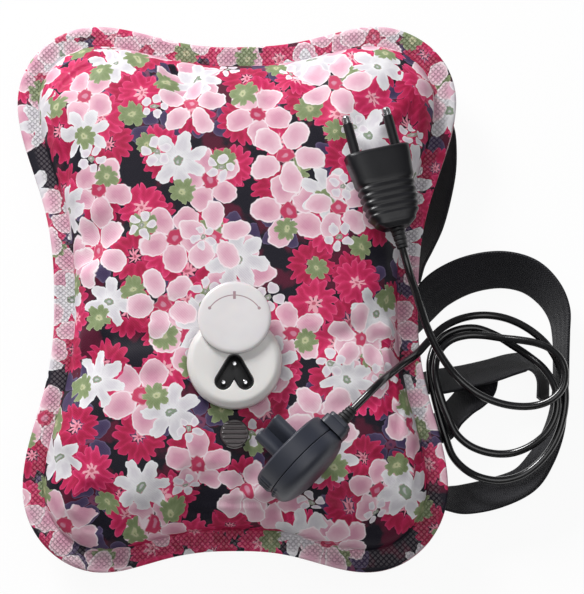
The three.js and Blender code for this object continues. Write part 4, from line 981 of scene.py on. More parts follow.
@dataclass(frozen=True)
class BagOutline:
    """The bag's edge in plan: round corner lobes joined by hollow sides.

    The whole outline is a little wider at its top and moved up.
    """

    width: float = 197.0
    waist_width: float = 166.0
    length: float = 254.0
    middle_length: float = 235.0
    corner: float = 37.0
    hollow_power: float = 1.35
    top_flare: float = 0.042
    shift: float = 3.0
    seam_width: float = 10.0

    def _sunk(self, depth: float, share: Array) -> Array:
        """Returns how far a side sinks: d * (1 + cos(pi * s ** k)) / 2 at the share s of its half length."""
        return depth * ((1 + np.cos(np.pi * share**self.hollow_power)) / 2)

    def inside(self, inset: float, count: int = 720) -> Array:
        """Returns the edge, moved inwards.

        Args:
            inset: How far the edge is moved.
            count: The number of points, which are evenly spaced.

        Returns:
            The points, shaped (count, 2).
        """
        side_end = self.length / 2 - self.corner
        top_end = self.width / 2 - self.corner
        share = np.linspace(0, 1, 60, endpoint=False)
        sunk = self._sunk((self.width - self.waist_width) / 2, share)
        side = np.column_stack([self.width / 2 - inset - sunk, side_end * share])
        turn = np.linspace(0, np.pi / 2, 40, endpoint=False)
        radius = self.corner - inset
        lobe = np.column_stack([top_end + radius * np.cos(turn), side_end + radius * np.sin(turn)])
        down = np.linspace(1, 0, 60)
        sunk = self._sunk((self.length - self.middle_length) / 2, down)
        top = np.column_stack([top_end * down, self.length / 2 - inset - sunk])
        quarter = np.concatenate([side, lobe, top])
        back = quarter[:-1][::-1]
        whole = np.concatenate(
            [quarter, back * (-1, 1), quarter[1:] * (-1, -1), back[:-1] * (1, -1)]
        )
        whole[:, 0] *= 1 + self.top_flare * whole[:, 1] / (self.length / 2)
        whole[:, 1] += self.shift
        loop = np.vstack([whole, whole[:1]])
        run = run_lengths(loop)
        spots = np.linspace(0, run[-1], count, endpoint=False)
        return np.column_stack([np.interp(spots, run, loop[:, k]) for k in range(2)])

    def seam_middle_x(self, y: float) -> float:
        """Returns where the middle of the right-hand seam crosses a height on the plan."""
        rim = self.inside(self.seam_width / 2)
        after = np.roll(rim, -1, axis=0)
        cut = (rim[:, 1] > y) != (after[:, 1] > y)
        share = (y - rim[cut, 1]) / (after[cut, 1] - rim[cut, 1])
        return float((rim[cut, 0] + share * (after[cut, 0] - rim[cut, 0])).max())

    def share_of(self, plan: Array) -> tuple[Array, Array]:
        """Returns each place's share of the way to the seam, and the distance to the seam on its ray."""
        rim = self.inside(self.seam_width)
        turn = np.unwrap(np.arctan2(rim[:, 1], rim[:, 0]))
        reach = np.hypot(*rim.T)
        angle = np.arctan2(plan[:, 1], plan[:, 0]) % (2 * np.pi)
        edge = np.interp(angle, turn, reach, period=2 * np.pi)
        return np.hypot(*plan.T) / edge, edge


@dataclass(frozen=True)
class Pad:
    """A round place on the bag, with the distances from its middle where it starts to fade and is gone."""

    spot: tuple[float, float]
    full: float
    gone: float

    def strength(self, plan: Array) -> Array:
        """Returns 1 on the pad, 0 away from it and a smooth fall between them."""
        return 1 - smooth(self.full, self.gone, np.hypot(*(plan - self.spot).T))


CLOTH_SETTINGS = {
    "quality": 6,
    "mass": 0.25,
    "use_pressure": True,
    "uniform_pressure_force": 2.5,
    "tension_stiffness": 22,
    "compression_stiffness": 22,
    "shear_stiffness": 8,
    "bending_stiffness": 0.35,
    "shrink_min": -0.045,
    "vertex_group_mass": "held",
    "pin_stiffness": 2.0,
}
"""The bag's cloth: a stretchy skin that the water fills, with no gravity and no collisions."""


@dataclass(frozen=True)
class FilledSkin:
    """The bag's skin under the water's pressure. A part of its motion is kept, up to the caps."""

    swell_cap: float = 0.9
    fold_cap: float = 2.8
    steps: int = 22

    def _add_cloth(self, skin: bpy.types.Object, firm: Array) -> bpy.types.Modifier:
        """Turns the skin into cloth that is held where it is firm."""
        levels = np.round(firm, 1)
        group = skin.vertex_groups.new(name="held")
        for level in np.unique(levels[levels > 0]):
            group.add(np.flatnonzero(levels == level).tolist(), float(level) ** 2, "REPLACE")
        modifier = skin.modifiers.new("cloth", "CLOTH")
        for key, value in CLOTH_SETTINGS.items():
            setattr(modifier.settings, key, value)
        modifier.settings.effector_weights.gravity = 0.0
        modifier.collision_settings.use_collision = False
        cache = modifier.point_cache
        cache.frame_start, cache.frame_end = 1, self.steps + 2
        return modifier

    def _capped(self, shift: Array, normals: Array) -> Array:
        """Caps a motion m as c * tanh(m / c), first the part of it along the normal and then its length."""
        rise = (shift * normals).sum(axis=1, keepdims=True)
        cap = np.where(rise > 0, self.swell_cap, self.fold_cap) * MM
        shift = shift - rise * normals + normals * cap * np.tanh(rise / cap)
        size = np.linalg.norm(shift, axis=1, keepdims=True)
        cap = self.fold_cap * MM
        return shift * (cap * np.tanh(size / cap) / np.maximum(size, 1e-9))

    def fill(self, skin: bpy.types.Object, firm: Array) -> None:
        """Fills the skin, whose points then stay where the capped motion takes them."""
        mesh = skin.data
        rest = read_vectors(mesh, "co")
        modifier = self._add_cloth(skin, firm)
        for step in range(1, self.steps + 1):
            bpy.context.scene.frame_set(step)
        drawn = skin.evaluated_get(bpy.context.evaluated_depsgraph_get())
        shift = (read_vectors(drawn.data, "co") - rest) * (1 - firm)[:, None]
        shift = self._capped(shift, read_vectors(mesh, "normal"))
        skin.modifiers.remove(modifier)
        skin.vertex_groups.clear()
        mesh.vertices.foreach_set("co", (rest + shift).ravel())
        bpy.context.scene.frame_set(1)
        LOG.info("the cloth moved %.1f mm at most", float(np.linalg.norm(shift, axis=1).max()) / MM)


@dataclass
class PillowBag:
    """The welded pillow bag: two printed faces puffed by the water, and a flat embossed seam round them."""

    edge: BagOutline = field(default_factory=BagOutline)
    skin: FilledSkin = field(default_factory=FilledSkin)
    thickness: float = 47.0
    seam_height: float = 22.0
    seam_half: float = 1.35
    rest_depth: float = 3.0
    foot_gap: float = 0.1
    crown_power: float = 5.0
    crown_root: float = 0.55
    voxel: float = 3.6
    sink: float = 1.0
    inlet_hold: Pad = Pad(INLET_SPOT, 24.0, 38.0)
    filler_hold: Pad = Pad(FILLER_SPOT, 11.0, 20.0)
    connector_rest: Pad = Pad((26.5, -80.0), 10.0, 22.0)
    plug_rest: Pad = Pad((68.0, 44.0), 18.0, 34.0)
    inlet_hole: Pad = Pad(INLET_SPOT, 15.0, 19.0)
    hole_depth: float = 8.0
    pucker_height: float = 0.62
    mean_reach: float = 95.0
    front_print: float = 300.0
    back_print: float = 900.0

    def fullness(self, share: Array) -> Array:
        """Returns how full the pillow is at a share of the way to its seam: (1 - s ** p) ** q."""
        return np.maximum(1 - np.clip(share, 0, 1) ** self.crown_power, 0) ** self.crown_root

    def printed_plan(self, points: Array) -> Array:
        """Flattens the bag's surface: a place keeps its direction and goes as far out as the cloth is long.

        The cloth's length is the distance to the seam times the share, plus what the crown's curve adds.
        """
        plan = points[:, :2]
        share, edge = self.edge.share_of(plan)
        front = points[:, 2] >= self.seam_height
        rise = np.where(front, self.thickness - self.seam_height, self.seam_height)
        full = np.clip(np.abs(points[:, 2] - self.seam_height) / rise, 0, 1)
        steep = (1 - full ** (1 / self.crown_root)) ** (1 / self.crown_power)
        share = share + (np.minimum(steep, 1) - share) * smooth(0.75, 0.92, share) * (share < 1)
        table = np.linspace(0, 1, 400)
        height = self.fullness(table) * (self.thickness - self.seam_height)
        run = np.hypot(np.diff(table) * self.mean_reach, np.diff(height))
        added = np.concatenate([[0], np.cumsum(run)]) - table * self.mean_reach
        beyond = np.maximum(share - 1, 0) * edge
        far = edge * np.minimum(share, 1) + np.interp(share, table, added) + beyond
        way = plan / np.maximum(np.hypot(*plan.T), 1e-6)[:, None]
        flat = way * far[:, None] + np.where(front, self.front_print, self.back_print)[:, None]
        return np.column_stack([flat, np.zeros(len(flat))])

    def base_form(self) -> Array:
        """Returns the closed pillow without its seam, a little slacker than it will be when it is full."""
        rim = self.edge.inside(self.edge.seam_width - 0.8, 360)
        share = np.sin(np.linspace(0, np.pi / 2, 40))
        full = self.fullness(share)
        top = self.seam_height + (self.thickness - self.sink - self.seam_height) * full
        foot = np.maximum(GAP, self.seam_height - (self.seam_height + self.rest_depth) * full)
        heights = np.concatenate([foot[:-1], top[::-1]])
        shares = np.concatenate([share[:-1], share[::-1]])
        rows = np.empty((len(shares), len(rim), 3))
        rows[..., :2] = rim[None] * shares[:, None, None]
        rows[..., 2] = heights[:, None]
        return rows

    def firm(self, points: Array) -> Array:
        """Returns how much each place of the cloth is held.

        It is 1 on the seam, on the floor, on the pads of the inlet and the filler, and under what rests
        on the bag.
        """
        plan = points[:, :2]
        share, _ = self.edge.share_of(plan)
        upper = points[:, 2] > self.seam_height
        pads = (self.inlet_hold, self.filler_hold, self.connector_rest, self.plug_rest)
        holds = [pad.strength(plan) * upper for pad in pads]
        holds += [smooth(0.93, 1.0, share), 1 - smooth(0.4, 4.0, points[:, 2])]
        return np.max(holds, axis=0)

    def puckers(self, points: Array) -> Array:
        """Returns how far the cloth rises in the small puckers that a weld pulls into it.

        Each pucker is a wave along the seam, a sum of sines of the angle, that fades inwards from the weld.
        """
        share, _ = self.edge.share_of(points[:, :2])
        longer = 1.28
        turn = np.arctan2(points[:, 1] / longer, points[:, 0])
        wave = (
            np.sin(23 * turn + 1.7 * np.sin(3 * turn)) + 0.7 * np.sin(37 * turn + 2.3 * np.cos(2 * turn))
            + 0.5 * np.sin(61 * turn + np.sin(5 * turn))
        )
        band = smooth(0.62, 0.86, share) * (1 - smooth(0.96, 1.0, share))
        sides = 0.45 + 0.55 * np.abs(np.cos(2 * turn))
        return wave * band * sides * self.pucker_height

    def write_print(self, piece: bpy.types.Object, weld: Array) -> None:
        """Writes the flattened plan and the weld's mask as attributes of the piece's points."""
        mesh = piece.data
        write_vectors(mesh, "print_plan", self.printed_plan(read_vectors(mesh, "co") / MM))
        write_vectors(mesh, "weld", np.column_stack([weld] * 3))

    def even_skin(self) -> bpy.types.Object:
        """Makes the slack pillow as a skin of even quads, which bends alike everywhere."""
        skin = Workshop.closed("printed_pillow", self.base_form(), sharp_degrees=180)
        remesh = skin.modifiers.new("even", "REMESH")
        remesh.mode = "VOXEL"
        remesh.voxel_size = self.voxel * MM
        drawn = skin.evaluated_get(bpy.context.evaluated_depsgraph_get())
        even = bpy.data.meshes.new_from_object(drawn)
        skin.modifiers.clear()
        skin.data = even
        return skin

    def make_pillow(self, palette: Palette) -> None:
        """Makes the filled bag between its seams, with a dip that the inlet's neck fills."""
        pillow = self.even_skin()
        mesh = pillow.data
        self.skin.fill(pillow, self.firm(read_vectors(mesh, "co") / MM))
        points = read_vectors(mesh, "co")
        rise = self.puckers(points / MM) * (1 - self.firm(points / MM))
        points = points + read_vectors(mesh, "normal") * rise[:, None] * MM
        hole = self.inlet_hole.strength(points[:, :2] / MM)
        points[:, 2] -= hole * (points[:, 2] > self.seam_height * MM) * self.hole_depth * MM
        points[:, 2] = np.maximum(points[:, 2], self.foot_gap * MM)
        mesh.vertices.foreach_set("co", points.ravel())
        mesh.polygons.foreach_set("use_smooth", np.ones(len(mesh.polygons), bool))
        self.write_print(pillow, np.zeros(len(mesh.vertices)))
        Workshop.finer(pillow, 1)
        Workshop.place(pillow, palette.printed, "bag", "front_panel", "back_panel", "water_pouch")

    def make_seam(self, palette: Palette) -> None:
        """Makes the flat welded edge, a thin band with a rounded rim and a slight wave.

        Its section is a list of insets from the outline, each with the band's half thickness there.
        """
        count = 900
        across = np.array([11.5, 10.2, 9.0, 7.0, 5.0, 3.0, 1.2, 0.45, 0.1, 0.0])
        half = self.seam_half * np.array([1.0, 1.0, 1.0, 1.0, 1.0, 1.0, 1.0, 0.85, 0.5, 0.0])
        insets = np.concatenate([across, across[-2::-1]])
        heights = np.concatenate([half, -half[-2::-1]])
        turn = ring_angles(count)
        wave = 0.55 * np.sin(7 * turn + np.sin(2 * turn)) + 0.3 * np.sin(17 * turn + 1.3)
        rows = np.empty((len(insets), count, 3))
        for k, inset in enumerate(insets):
            rows[k, :, :2] = self.edge.inside(float(inset), count)
            rows[k, :, 2] = self.seam_height + heights[k] + wave * smooth(9, 0, inset)
        rows = np.concatenate([rows, rows[:1]])
        seam = Workshop.closed("welded_seam", rows, sharp_degrees=180)
        share, edge = self.edge.share_of(read_vectors(seam.data, "co")[:, :2] / MM)
        outside = (share - 1) * edge
        self.write_print(seam, smooth(0.3, 1.4, outside) * (1 - smooth(8.6, 9.4, outside)))
        Workshop.place(seam, palette.printed, "bag")

    def make(self, palette: Palette) -> None:
        """Makes the bag."""
        self.make_pillow(palette)
        self.make_seam(palette)


@dataclass
class WaistBelt:
    """Flat webbing that comes out from under the bag and stands tilted where it bends round."""

    edge: BagOutline
    width: float = 20.0
    thickness: float = 1.4
    selvedge_width: float = 0.5
    selvedge_round: float = 0.12
    selvedge_half: float = 0.38
    runs: dict[str, tuple[Point, ...]] = field(default_factory=lambda: {
        "belt_short_run": (
            (-0.15, 0.7, 0.68), (0.02, 0.64, 0.62), (0.13, 0.57, 0.54), (0.24, 0.49, 0.48),
            (0.32, 0.39, 0.47), (0.33, 0.3, 0.5), (0.24, 0.22, 0.57), (0.12, 0.15, 0.64),
            (0.05, 0.08, 0.68),
        ),
        "belt_outer_loop": (
            (0.05, -0.07, 0.68), (0.33, -0.01, 0.56), (0.79, 0.07, 0.46), (1.4, 0.12, 0.46),
            (2.13, 0.14, 0.48), (2.75, 0.12, 0.53), (3.26, 0.055, 0.64), (3.52, -0.025, 0.74),
            (3.55, -0.11, 0.82), (3.49, -0.2, 0.84), (3.39, -0.28, 0.84), (3.22, -0.36, 0.82),
            (2.91, -0.46, 0.72), (2.46, -0.56, 0.6), (2, -0.635, 0.5), (1.3, -0.68, 0.43),
            (0.7, -0.7, 0.45), (0.35, -0.7, 0.53), (-0.04, -0.69, 0.68),
        ),
        "belt_middle_run": (
            (2.87, -0.35, 0.8), (2.98, -0.283, 0.79), (2.94, -0.233, 0.72), (2.73, -0.205, 0.64),
            (2.37, -0.211, 0.58), (1.82, -0.236, 0.55), (1.2, -0.258, 0.54), (0.61, -0.274, 0.51),
            (-0.03, -0.287, 0.68),
        ),
        "belt_tail_run": (
            (1.54, -0.258, 0.24), (1.47, -0.291, 0.3), (1.28, -0.327, 0.42), (1, -0.362, 0.52),
            (0.69, -0.401, 0.54), (0.37, -0.443, 0.44), (0.02, -0.472, 0.68),
        ),
    })

    def path(self, shares: Sequence[Point]) -> tuple[Array, Array, Array]:
        """Lays one run through its points, on its edge where it is tilted.

        Args:
            shares: Each point's distance beyond the seam's middle as a share of the belt's width, its place
                along the bag and its tilt, both as shares of the bag's half length and of a right angle.

        Returns:
            The run's middle line, and the directions across and through the webbing at each of its points.
        """
        reach = self.edge.length / 2
        points = [
            (self.edge.seam_middle_x(along * reach) + beyond * self.width, along * reach, tilt * reach)
            for beyond, along, tilt in shares
        ]
        curve = catmull_rom(points, 24)
        tilt = curve[:, 2] / reach * (np.pi / 2)
        along = np.gradient(curve[:, :2], axis=0)
        along /= np.linalg.norm(along, axis=1, keepdims=True)
        level = np.zeros(len(along))
        side = np.column_stack([-along[:, 1], along[:, 0], level])
        upward = np.array([0.0, 0.0, 1.0])
        wide = side * np.cos(tilt)[:, None] + upward * np.sin(tilt)[:, None]
        thick = np.cross(np.column_stack([along, level]), wide)
        rise = np.sin(tilt) * self.width / 2 + np.cos(tilt) * self.thickness / 2
        return np.column_stack([curve[:, :2], rise + GAP]), wide, thick

    def section(self) -> Array:
        """Returns the webbing's section, (across, through) pairs: flat, with a rounded selvedge each side."""
        half_width, half_thick = self.width / 2, self.thickness / 2
        flat_end, turn = half_width - self.selvedge_width, half_width - self.selvedge_round
        one_side = [(w, -half_thick) for w in np.linspace(-flat_end, flat_end, 13)]
        one_side += [(turn, -self.selvedge_half), (half_width, 0.0), (turn, self.selvedge_half)]
        return np.array(one_side + [(-w, -t) for w, t in one_side])

    @staticmethod
    def write_tape(piece: bpy.types.Object, centre: Array, wide: Array) -> None:
        """Writes how far along and across the webbing each point of a run lies, for its weave."""
        points = read_vectors(piece.data, "co") / MM
        near = np.argmin(
            np.linalg.norm(points[:, None, :2] - centre[None, :, :2], axis=2)
            + 0.02 * np.abs(points[:, None, 2] - centre[None, :, 2]), axis=1
        )
        along = run_lengths(centre[:, :2])[near]
        across = ((points - centre[near]) * wide[near]).sum(axis=1)
        write_vectors(piece.data, "tape", np.column_stack([along, across, np.zeros(len(points))]))

    def make_run(self, name: str, shares: Sequence[Point], palette: Palette) -> None:
        """Makes one run: the section follows its path. The name is that of the run's CAD node."""
        centre, wide, thick = self.path(shares)
        section = self.section()
        rows = (
            centre[:, None] + wide[:, None] * section[None, :, :1] + thick[:, None] * section[None, :, 1:]
        )
        piece = Workshop.closed(name + "_webbing", capped(rows), sharp_degrees=60)
        self.write_tape(piece, centre, wide)
        Workshop.place(piece, palette.webbing, "bag", name)

    def make(self, palette: Palette) -> None:
        """Makes the runs and dresses their tabs."""
        for name, shares in self.runs.items():
            self.make_run(name, shares, palette)
        tabs = [f"belt_tab_{spot}" for spot in ("top", "waist", "middle", "tail", "bottom")]
        Workshop.dress(palette.rubber, *tabs)


@dataclass
class ContactShape:
    """The three-lobed charging shape that the socket, its liner and the connector's nose share."""

    spread: float = 9.75
    rise: float = 8.4

    def places(self) -> dict[str, tuple[float, float]]:
        """Returns each contact's place."""
        half, rise = self.spread / 2, self.rise / 2
        return {"left": (-half, -rise), "right": (half, -rise), "earth": (0.0, rise)}

    def edge(self, radius: float, angle: Array) -> Array:
        """Returns how far the shape reaches from its middle in each direction.

        The shape is two capsules from the upper contact to each lower one, and its middle lies in both.
        """
        places = self.places()
        top = np.array(places["earth"])
        ray = unit_rays(angle)
        reach = np.linspace(0, 2 * self.rise, 1200)
        spots = ray[:, None] * reach[None, :, None]
        best = np.zeros(len(angle))
        for side in ("left", "right"):
            leg = np.array(places[side]) - top
            along = np.clip(((spots - top) @ leg) / (leg @ leg), 0, 1)
            gap = np.linalg.norm(spots - top - along[..., None] * leg, axis=-1)
            best = np.maximum(best, (reach * (gap <= radius)).max(axis=1))
        return best

    def prism(self, profile: Sequence[tuple[float, float]], count: int = 180) -> Array:
        """Sweeps a profile of (lobe radius, height) pairs round the shape. A radius of 0 is the middle."""
        angle = ring_angles(count)
        ray = unit_rays(angle)
        rows = []
        for radius, height in profile:
            reach = self.edge(radius, angle) if radius > 0 else np.zeros(count)
            rows.append(np.column_stack([ray * reach[:, None], np.full(count, height)]))
        return np.array(rows)


@dataclass
class ChargingInlet:
    """The white disc with its three-lobed socket, and the cap that swivels over it."""

    centre: Point = (*INLET_SPOT, 47.3)
    radius: float = 21.2
    height: float = 7.0
    neck_radius: float = 15.0
    neck_depth: float = 18.0
    socket_drop: float = 5.3
    socket_depth: float = 12.0
    lobe_radius: float = 3.0
    liner_wall: float = 0.5
    contact_radius: float = 1.2
    contact_recess: float = 2.0
    cap_radius: float = 16.3
    cap_thickness: float = 3.6
    pivot_offset: float = 7.2
    cap_swing: float = 11.6
    shape: ContactShape = field(default_factory=ContactShape)

    def socket_centre(self) -> Point:
        """Returns the middle of the socket at the weld pad's height."""
        return (self.centre[0], self.centre[1] - self.socket_drop, self.centre[2])

    def make_base(self, palette: Palette) -> None:
        """Makes the disc in one skin: the socket's wall, its lip, the flat top, the crown and the side.

        Each row blends from the socket's outline to circles about the disc's own middle.
        """
        count = 180
        angle = ring_angles(count)
        ray = unit_rays(angle)
        wall = self.lobe_radius + self.liner_wall + GAP
        top, floor = self.height - 0.03, self.height - self.socket_depth - GAP
        rows = [
            np.column_stack([ray * 0, np.full(count, floor)]),
            np.column_stack([ray * self.shape.edge(wall, angle)[:, None], np.full(count, floor)]),
        ]
        for widen, drop in ((0.0, 0.6), (0.05, 0.3), (0.16, 0.1), (0.36, 0.0)):
            reach = self.shape.edge(wall + widen, angle)
            rows.append(np.column_stack([ray * reach[:, None], np.full(count, top - drop)]))
        hub = np.array([0.0, self.socket_drop])
        crown = rounded(
            [
                (self.radius - 6.2, top, 0), (self.radius - 2.2, top - 0.25, 1.6),
                (self.radius - 0.15, top - 2.6, 1.8), (self.radius, 2.4, 0.4),
                (self.radius, GAP + 0.5, 0.5), (self.radius - 0.8, GAP, 0.4), (self.neck_radius, GAP, 0.2),
                (self.neck_radius, -self.neck_depth, 0), (0.0, -self.neck_depth, 0),
            ]
        )
        for radius, height in crown:
            along = ray @ hub
            reach = along + np.sqrt(np.maximum(along**2 - hub @ hub + radius**2, 0))
            spot = ray * reach[:, None] if radius > hub[1] else np.broadcast_to(hub, ray.shape)
            rows.append(np.column_stack([spot, np.full(count, height)]))
        disc = placed(np.array(rows), self.socket_centre())
        Workshop.build("inlet_disc", palette.ivory, "bag", "inlet_base", disc, sharp_degrees=32)

    def make_socket(self, palette: Palette) -> None:
        """Makes the black liner and the bright contacts."""
        floor = self.height - self.socket_depth
        outer, inner = self.lobe_radius + self.liner_wall, self.lobe_radius
        liner = self.shape.prism(
            [(0, floor), (outer, floor), (outer, self.height - 0.2), (outer - 0.15, self.height),
             (inner + 0.15, self.height), (inner, self.height - 0.2), (inner, floor + 1), (0, floor + 1)]
        )
        liner = placed(liner, self.socket_centre())
        Workshop.build("socket_lining", palette.black, "bag", "socket_liner", liner)
        tip, root, radius = self.height - self.contact_recess, floor - 2, self.contact_radius
        x0, y0, z0 = self.socket_centre()
        for side, (x, y) in self.shape.places().items():
            profile = rounded([(0, root, 0), (radius, root, 0.1), (radius, tip, 1.0), (0, tip, 0)])
            rod = placed(lathe(profile, 40), (x0 + x, y0 + y, z0))
            Workshop.build(f"contact_{side}", palette.steel, "bag", f"contact_pin_{side}", rod)

    def make_cap(self, palette: Palette) -> None:
        """Makes the domed cap with its rounded rim, standing open beside the socket."""
        radius, low = self.cap_radius, self.height + GAP
        top = low + self.cap_thickness
        edge = top - 1.25
        profile = rounded(
            [
                (0, low, 0), (radius - 0.4, low, 0.3), (radius, low + 0.5, 0.3), (radius, edge - 0.2, 0.9),
                (radius - 1.3, edge + 0.35, 0.8), (radius * 0.72, top - 0.42, 3.0),
                (radius * 0.36, top - 0.08, 3.0), (0, top, 0),
            ]
        )
        x, y, z = self.centre
        disc = placed(lathe(profile, 128), (x, y + self.pivot_offset + self.cap_swing, z))
        Workshop.build("swivel_cap_shell", palette.cap, "cap", "swivel_cap", disc, sharp_degrees=50)

    def make(self, palette: Palette) -> None:
        """Makes the inlet and dresses the parts under it."""
        self.make_base(palette)
        self.make_socket(palette)
        self.make_cap(palette)
        Workshop.dress(palette.rubber, "seal_ring", "cap_washer")
        Workshop.dress(palette.white, "clamp_nut", "heater_mount", "heater_cage", "thermal_fuse")
        Workshop.dress(palette.steel, "heating_element", "thermostat", "cap_pivot_pin")
        Workshop.dress(palette.wire, "live_wire", "neutral_wire", "earth_wire")


@dataclass
class Filler:
    """The smoked push-in plug, with straight ribs on its head to grip, in its white port."""

    centre: tuple[float, float] = FILLER_SPOT
    head_radius: float = 6.3
    head_thickness: float = 2.2
    stem_radius: float = 4.5
    stem_length: float = 8.0
    rib_pitch: float = 2.1
    rib_height: float = 0.45

    def make(self, palette: Palette) -> None:
        """Makes the plug: its head's height follows parallel ribs, h * max(0, cos(2 pi y / pitch))."""
        low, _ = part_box("filler_plug")
        foot = low.z / MM
        head = foot + self.stem_length
        top = head + self.head_thickness
        profile = rounded(
            [(0, foot, 0), (self.stem_radius - 0.5, foot, 0.2), (self.stem_radius, foot + 0.9, 0.3),
             (self.stem_radius, head, 0), (self.head_radius, head, 0.3), (self.head_radius, top - 0.3, 0.5)]
        )
        profile += [(self.head_radius * s, top) for s in np.linspace(0.95, 0.0, 28)]
        rows = lathe(profile, 96)
        reach = np.hypot(rows[..., 0], rows[..., 1])
        on_top = (rows[..., 2] > top - 0.05) * smooth(self.head_radius - 0.5, self.head_radius - 1.3, reach)
        ribs = np.maximum(0, np.cos(rows[..., 1] * (2 * np.pi / self.rib_pitch)))
        rows[..., 2] += self.rib_height * on_top * ribs
        rows = placed(rows, (*self.centre, 0.0))
        Workshop.build("filler_stopper", palette.smoke, "filler", "filler_plug", rows, sharp_degrees=50)
        Workshop.dress(palette.white, "filler_port")


@dataclass
class Relief:
    """A ribbed, tapered sleeve round the cord where it leaves a housing."""

    root: float = 3.3
    tip: float = 2.4
    inner: float = 2.05
    grooves: int = 3
    groove_depth: float = 0.4

    def rows(self, length: float) -> Array:
        """Returns the sleeve along +Z from its root: a taper with rounded grooves."""
        share = np.linspace(0, 1, 49)
        radius = self.root + (self.tip - self.root) * share
        groove = np.maximum(0, np.cos((share * (self.grooves + 1) % 1 - 0.5) * 2 * np.pi)) ** 3
        radius = radius - self.groove_depth * groove * (share > 0.12) * (share < 0.88)
        outer = list(zip(radius, share * length))
        return lathe([(self.inner, 0.0), *outer, (self.inner, length), (self.inner, 0.0)], 48)


class LeadEnd(ABC):
    """A part of the lead that is shaped in a frame of its own and then put into the bottle's."""

    origin: Point

    @abstractmethod
    def basis(self) -> Array:
        """Returns the part's own axes, one to a row."""

    def build(
        self, name: str, finish: Finish, node: str, *grids: Array, sharp_degrees: float = 40.0
    ) -> bpy.types.Object:
        """Makes a piece of the lead from shells in the part's own frame.

        Args:
            name: The piece's name.
            finish: What it is made of.
            node: The CAD node that it stands for.
            *grids: The points of each shell in rows.
            sharp_degrees: Edges that turn more than this stay sharp.

        Returns:
            The piece, in the bottle's frame.
        """
        seated = [placed(grid, self.origin, self.basis()) for grid in grids]
        return Workshop.build(name, finish, "lead", node, *seated, sharp_degrees=sharp_degrees)


